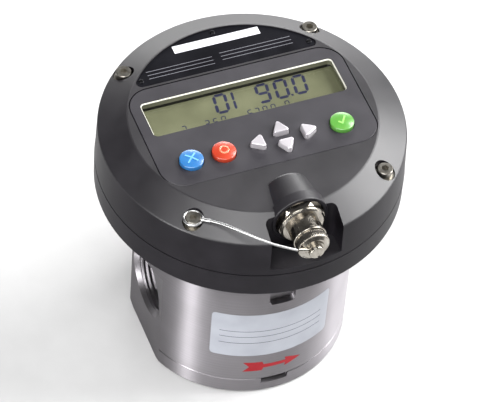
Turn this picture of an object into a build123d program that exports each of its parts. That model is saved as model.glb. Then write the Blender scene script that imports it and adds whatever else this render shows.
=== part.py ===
from build123d import *
import math
import os

# Oval-rotor flow meter with an electronic display head. Millimetres, +Z up.
# The origin is the centre of the bottom face. +X is the direction of flow, through two
# threaded ports on one axis. -Y is the front, where the connector and the body label are.

# Meter body and its bottom cover
BODY_R = 51.0
BODY_TOP = 101.0
COVER_H = 10.0
FLAT_DEPTH = 4.0  # how far the port flats are milled in from the round body
FLAT_TOP = 62.0
EDGE_CHAMFER = 1.5
JOINT_CHAMFER = 0.4

# Ports: tapping bore of a G 1 pipe thread
PORT_Z = 37.5
PORT_R = 15.15
PORT_MOUTH_R = 17.2
PORT_DEPTH = 18.0
CHANNEL_R = 11.0

# Measuring chamber and rotors
CHAMBER_WALL = 12.75  # between the outside of the body and the reach of a rotor
SHAFT_SHARE = 1.642857  # distance of the shafts as a share of half a rotor's long axis
CHAMBER_H = 46.0
CHAMBER_GAP = 0.3
ROTOR_GAP = 0.15  # each rotor stands back by this from the meshing outline
ROTOR_END_GAP = 0.3
TOOTH_COUNT = 40
TOOTH_DEPTH = 1.5
GROOVE_WIDTH = 1.7
SHAFT_R = 4.0
SHAFT_SEAT = 5.0
SHAFT_END_ROOM = 0.2
SHAFT_CHAMFER = 0.5
BUSH_WALL = 2.0
BUSH_L = 12.0
RUNNING_GAP = 0.06
MAGNET_R = 2.0
MAGNET_L = 4.0

# Chamber seal and cover screws
SEAL_OUTSET = 2.9  # from the reach of a rotor to the middle of the seal
SEAL_WIDTH = 2.2
SEAL_DEPTH = 1.6
COVER_BOLT_INSET = 7.0
COVER_BOLT_ANGLES = [30, 60, 120, 150, 210, 240, 300, 330]
M5_HEAD_R = 4.25
M5_HEAD_H = 5.0
M5_SHANK_R = 2.1
M5_CLEAR_R = 2.75
M5_KEY = 4.0  # across the flats of the hexagon socket
HEAD_CLEAR = 0.4
THREAD_CLEAR = 0.05
COVER_SCREW_L = 17.0
PRY_NOTCH_W = 13.0
PRY_NOTCH_H = 3.5
PRY_NOTCH_DEPTH = 2.6
PRY_NOTCH_X = -1.2

# Hollow in the top of the body, with the pickup that reads the rotor magnets
HOLLOW_ROOM = 4.25  # round the flange of the pickup
HOLLOW_ABOVE = 20.0  # its floor above the top of the chamber
FRONT_POCKET_W = 12.4
FRONT_POCKET_X = -1.0
FRONT_POCKET_H = 36.5
FRONT_POCKET_DEPTH = 3.2
FRONT_POCKET_CORNER_R = 2.0
PICKUP_R = 6.0
PICKUP_FLANGE_R = 8.5
PICKUP_WALL = 5.0  # metal left between the pickup and the chamber
PICKUP_SCREW_X = 12.0
PICKUP_SCREW_L = 8.0
PICKUP_FLANGE_T = 3.0
PICKUP_STEM = 4.0
PICKUP_STEP = 1.0  # what its stem is slimmer by
EAR_MARGIN = 1.5
M3_HEAD_R = 2.75
M3_HEAD_H = 3.0
M3_SHANK_R = 1.25
M3_CLEAR_R = 1.55
M3_KEY = 2.5
SCREW_END_ROOM = 2.0  # what a tapped hole is deeper than its screw

# Head base, the lower moulding
HEAD_R = 70.0
SKIRT_DROP = 4.0  # how far the head reaches down over the body
BASE_H = 13.0
SKIRT_FILLET = 1.0
DRAFT = 0.1
WALL = 3.2
BASE_FLOOR = 3.5
BASE_HOLE_INSET = 6.0  # ledge of the base over the hollow of the body
COLLAR_GAP = 0.15
COLLAR_WALL = 2.0
RIB_COUNT = 24
RIB_W = 1.8
RIB_DROP = 3.0
BASE_BOLT_INSET = 10.0
BASE_BOLT_ANGLES = [45, 135, 225, 315]
BASE_SCREW_L = 16.0
BODY_SEAL_INSET = 4.5
BODY_SEAL_W = 2.4
BODY_SEAL_H = 1.0

# Head housing, the upper moulding
GASKET_H = 0.6
GASKET_INSET = 0.6
SIDE_DRAFT = 0.9  # what the side wall leans in up to the shoulder
SIDE_H = 19.4
BEVEL_RUN = 13.2
BEVEL_H = 7.0
CEILING = 4.0
SHOULDER_FILLET = 1.2
PLATEAU_CHAMFER = 0.35
CORNER_DROP = 1.9  # of the hollow's upper corner below the shoulder
HEAD_SCREW_INSET = 6.36
WELL_R = 4.7
WELL_DEPTH = 7.4
POST_R = 5.2
M4_HEAD_R = 3.5
M4_HEAD_H = 4.0
M4_SHANK_R = 1.95
M4_CLEAR_R = 2.25
M4_KEY = 3.0
HEAD_SCREW_L = 25.0
WASHER_R = 4.4
WASHER_H = 0.8
INSERT_R = 2.9
INSERT_L = 6.8

# Display panel. What lies in its plane is given as a share of half its width.
PANEL_H_SHARE = 59.0 / 51
PANEL_CORNER_SHARE = 11.0 / 51
PANEL_FLANGE_H = 2.5
PANEL_CHAMFER = 0.3
PANEL_BODY_H = 9.0
PANEL_LEDGE = 2.2
PANEL_WALL = 0.9
KEY_ROOM_CORNER_R = 4.0
SEAM = 0.3
PANEL_MARGIN = 4.9  # from the edge of the plateau to the sides of the panel
WINDOW_W_SHARE = 92.0 / 51
WINDOW_H_SHARE = 20.6 / 51
WINDOW_Y_SHARE = 11.5 / 51
WINDOW_CORNER_R = 2.2
WINDOW_RECESS = 4.0
LENS_H = 1.5
LENS_LIP = 1.2
GLASS_H = 3.0
CONTACT_EDGE = 1.2
STACK_GAP = 0.2
KEY_PLATE = 4.6

# Keys: place, travel and shape
KEY_Y_SHARE = -16.8 / 51
KEY_RISE = 2.5
KEY_TRAVEL = 0.8
KEY_GAP = 0.3
KEY_FLANGE = 1.2
ARROW_FLANGE = 0.72
KEY_FLANGE_H = 1.4
KEY_DOME_GAP = 0.3
KEY_EDGE = 0.5
KEY_CROWN = 0.8
ARROW_LEAN = 0.4  # what the sides of an arrow key lean in over its rise
ROUND_KEY_SHARE = 5.4 / 51
ROUND_KEY_PLACES = {"blue_key": -35.5 / 51, "red_key": -20.3 / 51, "green_key": 35.6 / 51}
ARROW_BASE_SHARE = 9.4 / 51
ARROW_H_SHARE = 8.0 / 51
ARROW_CORNER_R = 1.3
ARROW_X_SHARE = 7.7 / 51
ARROW_SIDE_SHARE = 11.6 / 51  # from the middle of the cross of arrows to the left and right ones
ARROW_RISE_SHARE = 4.5 / 51  # and to the upper and lower ones
PLUNGER_R = 2.4
PLUNGER_L = 1.6

# Circuit board, key mat and battery
BOARD_INSET = 2.5  # how far the board stays inside the panel's edge
BOARD_CORNER_R = 7.0
BOARD_T = 1.6
BOARD_DROP = 13.0  # top of the board below the plateau
BOSS_R = 2.1
BOSS_UPPER_SHARE = (38.0 / 51, 25.0 / 51)  # upper screw bosses, from the middle of the panel
BOSS_LOWER_SHARE = (44.0 / 51, -24.0 / 51)
BOSS_BORE_L = 5.0
M2_SHANK_R = 0.9
M2_HEAD_R = 1.9
M2_HEAD_H = 1.3
M2_REACH = 4.0  # how far a board screw goes into its boss
M2_CLEAR_R = 1.1
STRIP_W = 2.2
STRIP_INSET = 2.0
MAT_T = 1.2
MAT_GAP = 0.3
MAT_MARGIN = 7.0
MAT_H_SHARE = 20.0 / 51
MAT_CORNER_R = 3.0
DOME_R = 3.2
CELL_R = 7.1
CELL_L = 50.0
CELL_PITCH = 16.2
CELL_GAP = 0.25
HOLDER_WALL = 2.5
HOLDER_H = 9.0
CONTACT_T = 0.6
SPRING_ROOM = 1.6  # between each end of a cell and its contact plate
CELL_NUB_R = 2.6
CELL_NUB_L = 1.0

# Name plate
PLATE_INSET = 0.9  # from the edge of the plateau
PLATE_ROOM = 1.5  # from the panel to the plate
PLATE_CORNER_R = 2.6
PLATE_T = 1.0
PLATE_SUNK = 0.5
PIN_INSET = 2.0  # of the middle pin from the plate's outer edge
PIN_MIDDLE_X = 0.4
PIN_CHORD_INSET = 3.6  # of the outer pins from the plate's straight edge
PIN_ANGLE = 40.6  # degrees between +X and the outer pins
PIN_HEAD_R = 1.2
PIN_HEAD_H = 0.5
PIN_R = 0.8
PIN_L = 2.2
PIN_ROOM = 0.2  # below each pin in its hole

# Connector snout and pocket. The connector's axis lies along Y.
AXIS_DROP = 6.4  # below the plateau
SNOUT_L = 18.5
SNOUT_BACK_R = 10.5
SNOUT_R = 13.0
SNOUT_WALL = 2.2
SNOUT_FILLET = 1.6
RIM_INSET = 12.5  # of the snout's rim from the side of the head
RIM_DEPTH = 2.0
RIM_WALL = 1.6
RIM_FILLET = 0.5
RIM_PROUD = 0.6  # of the snout's rim in front of the pocket's back wall
POCKET_HALF = 16.7
POCKET_DROP = 16.6  # floor of the pocket below the axis
POCKET_WALL = 3.0
POCKET_CORNER_R = 2.5
SHELF = 3.0  # wall that the connector is clamped to

# Connector
BARREL_R = 7.9
BARREL_CLEAR = 0.15
FLANGE_R = 9.2
FLANGE_T = 1.6
CONNECTOR_SEAL_T = 0.8
LOCK_WASHER_R = 10.8
LOCK_WASHER_T = 1.1
NUT_ACROSS = 19.6
NUT_T = 3.0
NUT_TURN = 10.0  # degrees that the tightened nut happens to stand at
NUT_COLLAR_R = 10.0
NUT_COLLAR_T = 1.9
NUT_CHAMFER = 0.6
SLEEVE_R = 7.3
SLEEVE_L = 6.0
SLEEVE_SLOTS = 6
SLOT_W = 2.2
SLOT_DEPTH = 0.7
SLOT_START = 0.8  # plain ring between the nut and the slots
NOSE_R = 6.0
NOSE_L = 4.9
NOSE_CHAMFER = 0.4
NOSE_BORE_R = 4.7
INSERT_FACE = 2.0  # how far the insert lies back in the nose
PIN_COUNT = 6
CONTACT_R = 0.5
CONTACT_CIRCLE_R = 2.7
CONTACT_L = 22.0
CONTACT_SUNK = 0.6

# Dust cap and tether
CAP_R = 7.6
CAP_RIM_L = 1.8
CAP_RIM_FILLET = 0.4
CAP_GROOVE_R = 6.7
CAP_GROOVE_L = 0.6
CAP_KNURL_R = 7.1
CAP_L = 7.3
CAP_NECK = 0.3
CAP_FACE_R = 5.65
CAP_CHAMFER_L = 1.0
CAP_BORE_GAP = 0.1
KNURL_COUNT = 36
KNURL_DEPTH = 0.3
CAP_SEAL_T = 0.6
CAP_SEAL_W = 1.6
CAP_SCREW_R = 3.4
CAP_SCREW_H = 2.0
CAP_SCREW_SLOT = 1.0
CAP_SCREW_TURN = 20.0
CAP_SCREW_SHANK_R = 1.45
CAP_SCREW_L = 1.6
TERMINAL_R = 4.4
TERMINAL_T = 0.8
TERMINAL_GAP = 0.3
TERMINAL_HOLE_R = 1.6
TERMINAL_TILT = 18.0  # degrees that its crimp points up, seen from the front
CRIMP_R = 0.95
CRIMP_END = 8.6
NOOSE_R = 4.1
FERRULE_R = 0.8
FERRULE_REACH = 8.3
FERRULE_TURN = -42.0  # degrees from +X to the way the wire leaves the head screw
FERRULE_RISE = 14.0
TETHER_R = 0.55
TETHER_END_GAP = 0.15

# Route of the tether between its ferrule and the crimp of the ring terminal. The two ends
# come from the fittings. The points between them are chosen by hand: each gives the share of
# the way, and how far the wire stands out sideways and up there, as shares of the distance.
TETHER_BOW = [
    (0.1385, 0.0173, 0.0427),
    (0.2973, 0.0600, 0.0831),
    (0.4765, 0.0958, 0.1021),
    (0.6514, 0.1025, 0.0958),
    (0.8095, 0.0807, 0.0657),
]

# Places worked out from the sizes above
FLAT_X = BODY_R - FLAT_DEPTH
CHAMBER_TOP = COVER_H + CHAMBER_H
ROTOR_LONG = (BODY_R - CHAMBER_WALL) / (1 + SHAFT_SHARE / 2)  # half the long axis
SHAFT_DISTANCE = ROTOR_LONG * SHAFT_SHARE
SHAFT_Y = SHAFT_DISTANCE / 2
ROTOR_SHORT = SHAFT_DISTANCE - ROTOR_LONG
BUSH_R = SHAFT_R + RUNNING_GAP + BUSH_WALL
MAGNET_X = (BUSH_R + ROTOR_LONG - TOOTH_DEPTH) / 2
SEAL_R = ROTOR_LONG + SEAL_OUTSET
COVER_BOLT_R = BODY_R - COVER_BOLT_INSET
BASE_BOLT_R = BODY_R - BASE_BOLT_INSET
BODY_SEAL_R = BODY_R - BODY_SEAL_INSET
HOLLOW_R = SHAFT_Y + PICKUP_FLANGE_R + HOLLOW_ROOM
HOLLOW_FLOOR = CHAMBER_TOP + HOLLOW_ABOVE
BASE_HOLE_R = HOLLOW_R - BASE_HOLE_INSET
FRONT_POCKET_BOTTOM = BODY_TOP - FRONT_POCKET_H
HEAD_BOTTOM = BODY_TOP - SKIRT_DROP
PARTING_Z = HEAD_BOTTOM + BASE_H
FLOOR_Z = BODY_TOP + BASE_FLOOR
HOUSING_Z = PARTING_Z + GASKET_H
SHOULDER_R = HEAD_R - SIDE_DRAFT
SHOULDER_Z = HOUSING_Z + SIDE_H
PLATEAU_R = SHOULDER_R - BEVEL_RUN
PLATEAU_Z = SHOULDER_Z + BEVEL_H
WELL_FLOOR = PLATEAU_Z - WELL_DEPTH
HEAD_SCREW_XY = (HEAD_R - HEAD_SCREW_INSET) / math.sqrt(2)
CEILING_Z = PLATEAU_Z - CEILING
PARTING_R = HEAD_R - DRAFT
PANEL_HALF = PLATEAU_R - PANEL_MARGIN
PANEL_W = 2 * PANEL_HALF
PANEL_H = PANEL_HALF * PANEL_H_SHARE
PANEL_CORNER_R = PANEL_HALF * PANEL_CORNER_SHARE
WINDOW_W = PANEL_HALF * WINDOW_W_SHARE
WINDOW_H = PANEL_HALF * WINDOW_H_SHARE
WINDOW_Y = PANEL_HALF * WINDOW_Y_SHARE
KEY_Y = PANEL_HALF * KEY_Y_SHARE
ROUND_KEY_R = PANEL_HALF * ROUND_KEY_SHARE
ROUND_KEYS = {name: PANEL_HALF * share for name, share in ROUND_KEY_PLACES.items()}
ARROW_BASE = PANEL_HALF * ARROW_BASE_SHARE
ARROW_H = PANEL_HALF * ARROW_H_SHARE
ARROW_CENTRE_X = PANEL_HALF * ARROW_X_SHARE
ARROW_SIDE = PANEL_HALF * ARROW_SIDE_SHARE
ARROW_RISE = PANEL_HALF * ARROW_RISE_SHARE
MAT_W = PANEL_W - 2 * MAT_MARGIN
MAT_H = PANEL_HALF * MAT_H_SHARE
BOARD_TOP = PLATEAU_Z - BOARD_DROP
LEDGE_Z = PLATEAU_Z - PANEL_FLANGE_H
PANEL_BOTTOM = PLATEAU_Z - PANEL_BODY_H
LENS_TOP = PLATEAU_Z - WINDOW_RECESS
GLASS_TOP = LENS_TOP - LENS_H - STACK_GAP
GLASS_BOTTOM = GLASS_TOP - GLASS_H
KEY_PLATE_Z = PLATEAU_Z - KEY_PLATE
KEY_STOP_Z = KEY_PLATE_Z - KEY_GAP
PLUNGER_Z = KEY_STOP_Z - KEY_FLANGE_H - PLUNGER_L
DOME_H = PLUNGER_Z - KEY_TRAVEL - KEY_DOME_GAP - BOARD_TOP - MAT_T
BOARD_BOTTOM = BOARD_TOP - BOARD_T
PLATE_TOP = PLATEAU_Z - PLATE_SUNK
PLATE_R = PLATEAU_R - PLATE_INSET
PLATE_CHORD_Y = PANEL_H / 2 + PLATE_ROOM
PIN_Y = PLATE_CHORD_Y + PIN_CHORD_INSET
PIN_X = PIN_Y / math.tan(math.radians(PIN_ANGLE))
PLATE_PINS = [(PIN_MIDDLE_X, PLATE_R - PIN_INSET), (-PIN_X, PIN_Y), (PIN_X, PIN_Y)]
AXIS_Z = PLATEAU_Z - AXIS_DROP
RIM_Y = RIM_INSET - HEAD_R
SNOUT_BACK_Y = RIM_Y + SNOUT_L
POCKET_BACK_Y = RIM_Y + RIM_PROUD
POCKET_FLOOR = AXIS_Z - POCKET_DROP
SHELF_FRONT_Y = RIM_Y + RIM_DEPTH
SHELF_BACK_Y = SHELF_FRONT_Y + SHELF
NUT_BACK_Y = SHELF_FRONT_Y - LOCK_WASHER_T
NUT_FRONT_Y = NUT_BACK_Y - NUT_T - NUT_COLLAR_T
SLEEVE_FRONT_Y = NUT_FRONT_Y - SLEEVE_L
NOSE_FRONT_Y = SLEEVE_FRONT_Y - NOSE_L
CAP_BACK_Y = SLEEVE_FRONT_Y - CAP_NECK
CAP_FACE_Y = CAP_BACK_Y - CAP_L
TERMINAL_Y = CAP_FACE_Y - TERMINAL_T / 2
HEAD_SCREW_PLACES = [(sx * HEAD_SCREW_XY, sy * HEAD_SCREW_XY) for sx in (-1, 1) for sy in (-1, 1)]
BOSS_PLACES = []
for side in (-1, 1):
    for x_share, y_share in (BOSS_UPPER_SHARE, BOSS_LOWER_SHARE):
        BOSS_PLACES.append((side * PANEL_HALF * x_share, PANEL_HALF * y_share))
HEAD_SEAT_Z = WELL_FLOOR + WASHER_H

UP = (Align.CENTER, Align.CENTER, Align.MIN)
EPS = 0.5  # how far a cutting tool runs past the face that it opens


def disc(radius, low, high, x=0.0, y=0.0):
    """Upright cylinder between two heights."""
    return Pos(x, y, low) * Cylinder(radius, high - low, align=UP)


def ring(outer, inner, low, high, x=0.0, y=0.0):
    """Upright tube between two heights."""
    return disc(outer, low, high, x, y) - disc(inner, low - EPS, high + EPS, x, y)


def block(width, depth, low, high, x=0.0, y=0.0):
    """Upright box between two heights."""
    return Pos(x, y, low) * Box(width, depth, high - low, align=UP)


def slab(sketch, low, high):
    """A flat outline given thickness between two heights."""
    return Pos(0, 0, low) * extrude(sketch, high - low)


def forward(back_y, x=0.0, z=AXIS_Z):
    """Place on the connector's axis, turned so that local +Z points to the front."""
    return Pos(x, back_y, z) * Rot(90, 0, 0)


def rod(radius, back_y, front_y, x=0.0, z=AXIS_Z):
    """Cylinder along the connector's axis."""
    return forward(back_y, x, z) * Cylinder(radius, back_y - front_y, align=UP)


def sleeve(outer, inner, back_y, front_y):
    """Tube along the connector's axis."""
    return rod(outer, back_y, front_y) - rod(inner, back_y + EPS, front_y - EPS)


def on_circle(radius, angle):
    return radius * math.cos(math.radians(angle)), radius * math.sin(math.radians(angle))


def group(solids):
    """Several separate solids of one kind."""
    return Compound(children=list(solids))


def save(name, shape):
    export_step(shape, f"parts/{name}.step")


def socket_screw(head_r, head_h, shank_r, length, key_across, seat_z, x, y):
    """Cap screw with a hexagon socket, head upwards, its head resting at seat_z."""
    head = disc(head_r, seat_z, seat_z + head_h, x, y)
    head = chamfer(head.edges().group_by(Axis.Z)[-1], head_h * 0.08)
    hexagon = RegularPolygon(key_across / 2, 6, major_radius=False)
    socket = Pos(x, y, seat_z + head_h) * extrude(hexagon, -head_h * 0.5)
    return head + disc(shank_r, seat_z - length, seat_z, x, y) - socket


# Body


def port_cut(side):
    """Tapping bore with its mouth chamfer, and the channel on to the chamber."""
    mouth = PORT_MOUTH_R - PORT_R
    turned = Pos(side * FLAT_X, 0, PORT_Z) * Rot(0, -side * 90, 0)
    bore = Cylinder(PORT_R, PORT_DEPTH, align=UP)
    cone = Cone(PORT_MOUTH_R, PORT_R, mouth, align=UP)
    outside = Pos(0, 0, -EPS * 4) * Cylinder(PORT_MOUTH_R, EPS * 4, align=UP)
    tip = Pos(0, 0, PORT_DEPTH) * Cone(PORT_R, CHANNEL_R, PORT_R - CHANNEL_R, align=UP)
    channel = Pos(side * FLAT_X / 2, 0, PORT_Z) * Rot(0, 90, 0) * Cylinder(CHANNEL_R, FLAT_X - PORT_DEPTH)
    return turned * (bore + cone + outside + tip) + channel


def flats(low, high):
    """The two blocks that mill the port flats."""
    depth = BODY_R - FLAT_X + EPS
    return [block(depth, 2 * BODY_R, low, high, side * (FLAT_X + depth / 2)) for side in (-1, 1)]


def chamber():
    """Two overlapping bores in which the rotors turn."""
    radius = ROTOR_LONG + CHAMBER_GAP
    return [disc(radius, COVER_H - EPS, CHAMBER_TOP, 0, side * SHAFT_Y) for side in (-1, 1)]


def meter_body():
    body = disc(BODY_R, COVER_H, BODY_TOP)
    body = chamfer(body.edges().group_by(Axis.Z)[0], JOINT_CHAMFER)
    body -= flats(COVER_H - EPS, FLAT_TOP)
    body -= chamber()
    body -= [disc(SHAFT_R, CHAMBER_TOP - EPS, CHAMBER_TOP + SHAFT_SEAT, 0, s * SHAFT_Y) for s in (-1, 1)]
    body -= [port_cut(side) for side in (-1, 1)]
    thread_r = M5_SHANK_R + THREAD_CLEAR
    reach = COVER_H + COVER_SCREW_L + 3 * EPS
    for angle in COVER_BOLT_ANGLES:
        body -= disc(thread_r, COVER_H - EPS, reach, *on_circle(COVER_BOLT_R, angle))
    body -= disc(HOLLOW_R, HOLLOW_FLOOR, BODY_TOP + EPS)
    body -= disc(PICKUP_R + THREAD_CLEAR, CHAMBER_TOP + PICKUP_WALL, HOLLOW_FLOOR + EPS, 0, -SHAFT_Y)
    low = HOLLOW_FLOOR - PICKUP_SCREW_L
    for side in (-1, 1):
        body -= disc(M3_SHANK_R + THREAD_CLEAR, low, HOLLOW_FLOOR + EPS, side * PICKUP_SCREW_X, -SHAFT_Y)
    for angle in BASE_BOLT_ANGLES:
        x, y = on_circle(BASE_BOLT_R, angle)
        body -= disc(thread_r, BODY_TOP - BASE_SCREW_L, BODY_TOP + EPS, x, y)
    body -= body_seal_ring(BODY_TOP + EPS)
    pocket_h = BODY_TOP - FRONT_POCKET_BOTTOM
    outline = RectangleRounded(FRONT_POCKET_W, 2 * pocket_h, FRONT_POCKET_CORNER_R)
    outline = Pos(FRONT_POCKET_X, FRONT_POCKET_BOTTOM + pocket_h) * outline
    body -= Plane.XZ.offset(BODY_R - FRONT_POCKET_DEPTH) * extrude(outline, FRONT_POCKET_DEPTH + EPS)
    return body


def seal_track(outset):
    """Race-track outline round both chamber bores."""
    return SlotCenterToCenter(SHAFT_DISTANCE, 2 * (SEAL_R + outset), rotation=90)


def bottom_cover():
    cover = disc(BODY_R, 0, COVER_H)
    cover = chamfer(cover.edges().group_by(Axis.Z)[0], EDGE_CHAMFER)
    cover = chamfer(cover.edges().group_by(Axis.Z)[-1], JOINT_CHAMFER)
    cover -= flats(-EPS, COVER_H + EPS)
    for angle in COVER_BOLT_ANGLES:
        x, y = on_circle(COVER_BOLT_R, angle)
        cover -= disc(M5_CLEAR_R, -EPS, COVER_H + EPS, x, y)
        cover -= disc(M5_HEAD_R + HEAD_CLEAR, -EPS, M5_HEAD_H + HEAD_CLEAR, x, y)
    cover -= [disc(SHAFT_R, COVER_H - SHAFT_SEAT, COVER_H + EPS, 0, s * SHAFT_Y) for s in (-1, 1)]
    track = seal_track(SEAL_WIDTH / 2 + THREAD_CLEAR) - seal_track(-SEAL_WIDTH / 2 - THREAD_CLEAR)
    cover -= slab(track, COVER_H - SEAL_DEPTH, COVER_H + EPS)
    notch_top = COVER_H + EPS
    notch = block(PRY_NOTCH_W, 2 * PRY_NOTCH_DEPTH, COVER_H - PRY_NOTCH_H, notch_top, PRY_NOTCH_X, -BODY_R)
    return cover - notch


def chamber_seal():
    """Rubber ring, pressed to an oval section in its groove."""
    band = seal_track(SEAL_WIDTH / 2) - seal_track(-SEAL_WIDTH / 2)
    seal = slab(band, COVER_H - SEAL_DEPTH, COVER_H)
    return fillet(seal.edges(), SEAL_DEPTH * 0.3)


def cover_screws():
    screws = []
    seat = M5_HEAD_H + HEAD_CLEAR
    for angle in COVER_BOLT_ANGLES:
        x, y = on_circle(COVER_BOLT_R, angle)
        length = COVER_H - seat + COVER_SCREW_L
        screw = socket_screw(M5_HEAD_R, M5_HEAD_H, M5_SHANK_R, length, M5_KEY, 0, 0, 0)
        screws.append(Pos(x, y, seat) * Rot(180, 0, 0) * screw)
    return group(screws)


# Rotors


def rotor_outline():
    """Oval of four arcs: two round lobes and two gently curved sides.

    Two such ovals, a quarter turn apart on shafts that turn at the same speed, roll past each
    other without meeting. The lobe and the side join on the pitch circle, at 45 degrees.
    """
    pitch_r = SHAFT_DISTANCE / 2
    lobe_x = (ROTOR_LONG**2 - pitch_r**2) / (2 * ROTOR_LONG - math.sqrt(2) * pitch_r)
    lobe_r = ROTOR_LONG - lobe_x
    shrink = (lobe_r - ROTOR_GAP) / lobe_r
    join = pitch_r / math.sqrt(2)
    join_x = lobe_x + (join - lobe_x) * shrink
    join_y = join * shrink
    tip = ROTOR_LONG - ROTOR_GAP
    side = ROTOR_SHORT - ROTOR_GAP
    arcs = [
        ThreePointArc((join_x, -join_y), (tip, 0), (join_x, join_y)),
        ThreePointArc((join_x, join_y), (0, side), (-join_x, join_y)),
        ThreePointArc((-join_x, join_y), (-tip, 0), (-join_x, -join_y)),
        ThreePointArc((-join_x, -join_y), (0, -side), (join_x, -join_y)),
    ]
    return Wire(arcs)


def rotor_section():
    """The oval with its tooth gaps, spaced evenly along the outline."""
    outline = rotor_outline()
    half = GROOVE_WIDTH / 2
    root = half * 0.5
    gap = Polygon((-half, EPS), (-root, -TOOTH_DEPTH), (root, -TOOTH_DEPTH), (half, EPS), align=None)
    gaps = []
    for k in range(TOOTH_COUNT):
        along = (k + 0.5) / TOOTH_COUNT
        point = outline @ along
        way = outline % along
        outward = math.degrees(math.atan2(-way.Y, -way.X))
        gaps.append(Pos(point.X, point.Y) * Rot(0, 0, outward) * gap)
    return make_face(outline) - gaps


def rotor(side, turn, magnets):
    low = COVER_H + ROTOR_END_GAP
    high = CHAMBER_TOP - ROTOR_END_GAP
    body = Rot(0, 0, turn) * slab(rotor_section(), low, high)
    body -= disc(BUSH_R, low - EPS, high + EPS)
    if magnets:
        body -= [disc(MAGNET_R, high - MAGNET_L, high + EPS, s * MAGNET_X) for s in (-1, 1)]
    return Pos(0, side * SHAFT_Y, 0) * body


def rotor_bushes(side):
    low = COVER_H + ROTOR_END_GAP
    high = CHAMBER_TOP - ROTOR_END_GAP
    inner = SHAFT_R + RUNNING_GAP
    bush = ring(BUSH_R, inner, 0, BUSH_L, 0, side * SHAFT_Y)
    return group([Pos(0, 0, z) * bush for z in (low, high - BUSH_L)])


def rotor_magnets():
    high = CHAMBER_TOP - ROTOR_END_GAP
    return group([disc(MAGNET_R, high - MAGNET_L, high, s * MAGNET_X, -SHAFT_Y) for s in (-1, 1)])


def rotor_shaft(side):
    end = SHAFT_SEAT - SHAFT_END_ROOM
    shaft = disc(SHAFT_R, COVER_H - end, CHAMBER_TOP + end, 0, side * SHAFT_Y)
    return chamfer(shaft.edges().filter_by(GeomType.CIRCLE), SHAFT_CHAMFER)


# Top of the body


def pickup_sensor():
    low = CHAMBER_TOP + PICKUP_WALL
    sensor = disc(PICKUP_R, low, HOLLOW_FLOOR, 0, -SHAFT_Y)
    ears = SlotCenterToCenter(2 * PICKUP_SCREW_X, 2 * M3_HEAD_R + EAR_MARGIN) + Circle(PICKUP_FLANGE_R)
    top = HOLLOW_FLOOR + PICKUP_FLANGE_T
    flange = slab(Pos(0, -SHAFT_Y) * ears, HOLLOW_FLOOR, top)
    for side in (-1, 1):
        flange -= disc(M3_CLEAR_R, HOLLOW_FLOOR - EPS, top + EPS, side * PICKUP_SCREW_X, -SHAFT_Y)
    return sensor + flange + disc(PICKUP_R - PICKUP_STEP, top, top + PICKUP_STEM, 0, -SHAFT_Y)


def pickup_screws():
    seat = HOLLOW_FLOOR + PICKUP_FLANGE_T
    length = PICKUP_SCREW_L + PICKUP_FLANGE_T - SCREW_END_ROOM
    sizes = (M3_HEAD_R, M3_HEAD_H, M3_SHANK_R, length, M3_KEY, seat)
    return group([socket_screw(*sizes, side * PICKUP_SCREW_X, -SHAFT_Y) for side in (-1, 1)])


def body_seal_ring(top):
    """Space of the flat seal in the top face of the body, up to a height."""
    half = BODY_SEAL_W / 2
    return ring(BODY_SEAL_R + half, BODY_SEAL_R - half, BODY_TOP - BODY_SEAL_H, top)


def body_seal():
    return body_seal_ring(BODY_TOP)


# Head base


def head_base():
    """Tray with a skirt round the top of the body, stiffened by radial ribs underneath."""
    outer = disc(HEAD_R, HEAD_BOTTOM, PARTING_Z)
    outer = fillet(outer.edges().group_by(Axis.Z)[0], SKIRT_FILLET)
    inner_r = HEAD_R - WALL
    base = outer - disc(inner_r, HEAD_BOTTOM - EPS, BODY_TOP) - disc(inner_r, FLOOR_Z, PARTING_Z + EPS)
    collar_r = BODY_R + COLLAR_GAP
    base += ring(collar_r + COLLAR_WALL, collar_r, HEAD_BOTTOM, BODY_TOP)
    rib_in = collar_r + COLLAR_WALL / 2
    rib_out = HEAD_R - WALL / 2
    for k in range(RIB_COUNT):
        rib = block(rib_out - rib_in, RIB_W, BODY_TOP - RIB_DROP, BODY_TOP, (rib_in + rib_out) / 2)
        base += Rot(0, 0, (k + 0.5) * 360 / RIB_COUNT) * rib
    shell = disc(HEAD_R, HEAD_BOTTOM, PARTING_Z)
    for x, y in HEAD_SCREW_PLACES:
        base += disc(POST_R, BODY_TOP, PARTING_Z, x, y) & shell
        base -= disc(INSERT_R, PARTING_Z - INSERT_L, PARTING_Z + EPS, x, y)
        base -= disc(M4_CLEAR_R, FLOOR_Z - SCREW_END_ROOM, PARTING_Z, x, y)
    base -= disc(BASE_HOLE_R, BODY_TOP - EPS, FLOOR_Z + EPS)
    for angle in BASE_BOLT_ANGLES:
        base -= disc(M5_CLEAR_R, BODY_TOP - EPS, FLOOR_Z + EPS, *on_circle(BASE_BOLT_R, angle))
    return base


def base_screws():
    length = BASE_FLOOR + BASE_SCREW_L - SCREW_END_ROOM
    sizes = (M5_HEAD_R, M5_HEAD_H, M5_SHANK_R, length, M5_KEY, FLOOR_Z)
    return group([socket_screw(*sizes, *on_circle(BASE_BOLT_R, angle)) for angle in BASE_BOLT_ANGLES])


def head_inserts():
    low = PARTING_Z - INSERT_L
    bore_r = M4_SHANK_R + THREAD_CLEAR
    return group([ring(INSERT_R, bore_r, low, PARTING_Z, x, y) for x, y in HEAD_SCREW_PLACES])


def head_gasket():
    return ring(PARTING_R - GASKET_INSET, PARTING_R - WALL, PARTING_Z, HOUSING_Z)


# Head housing


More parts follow.
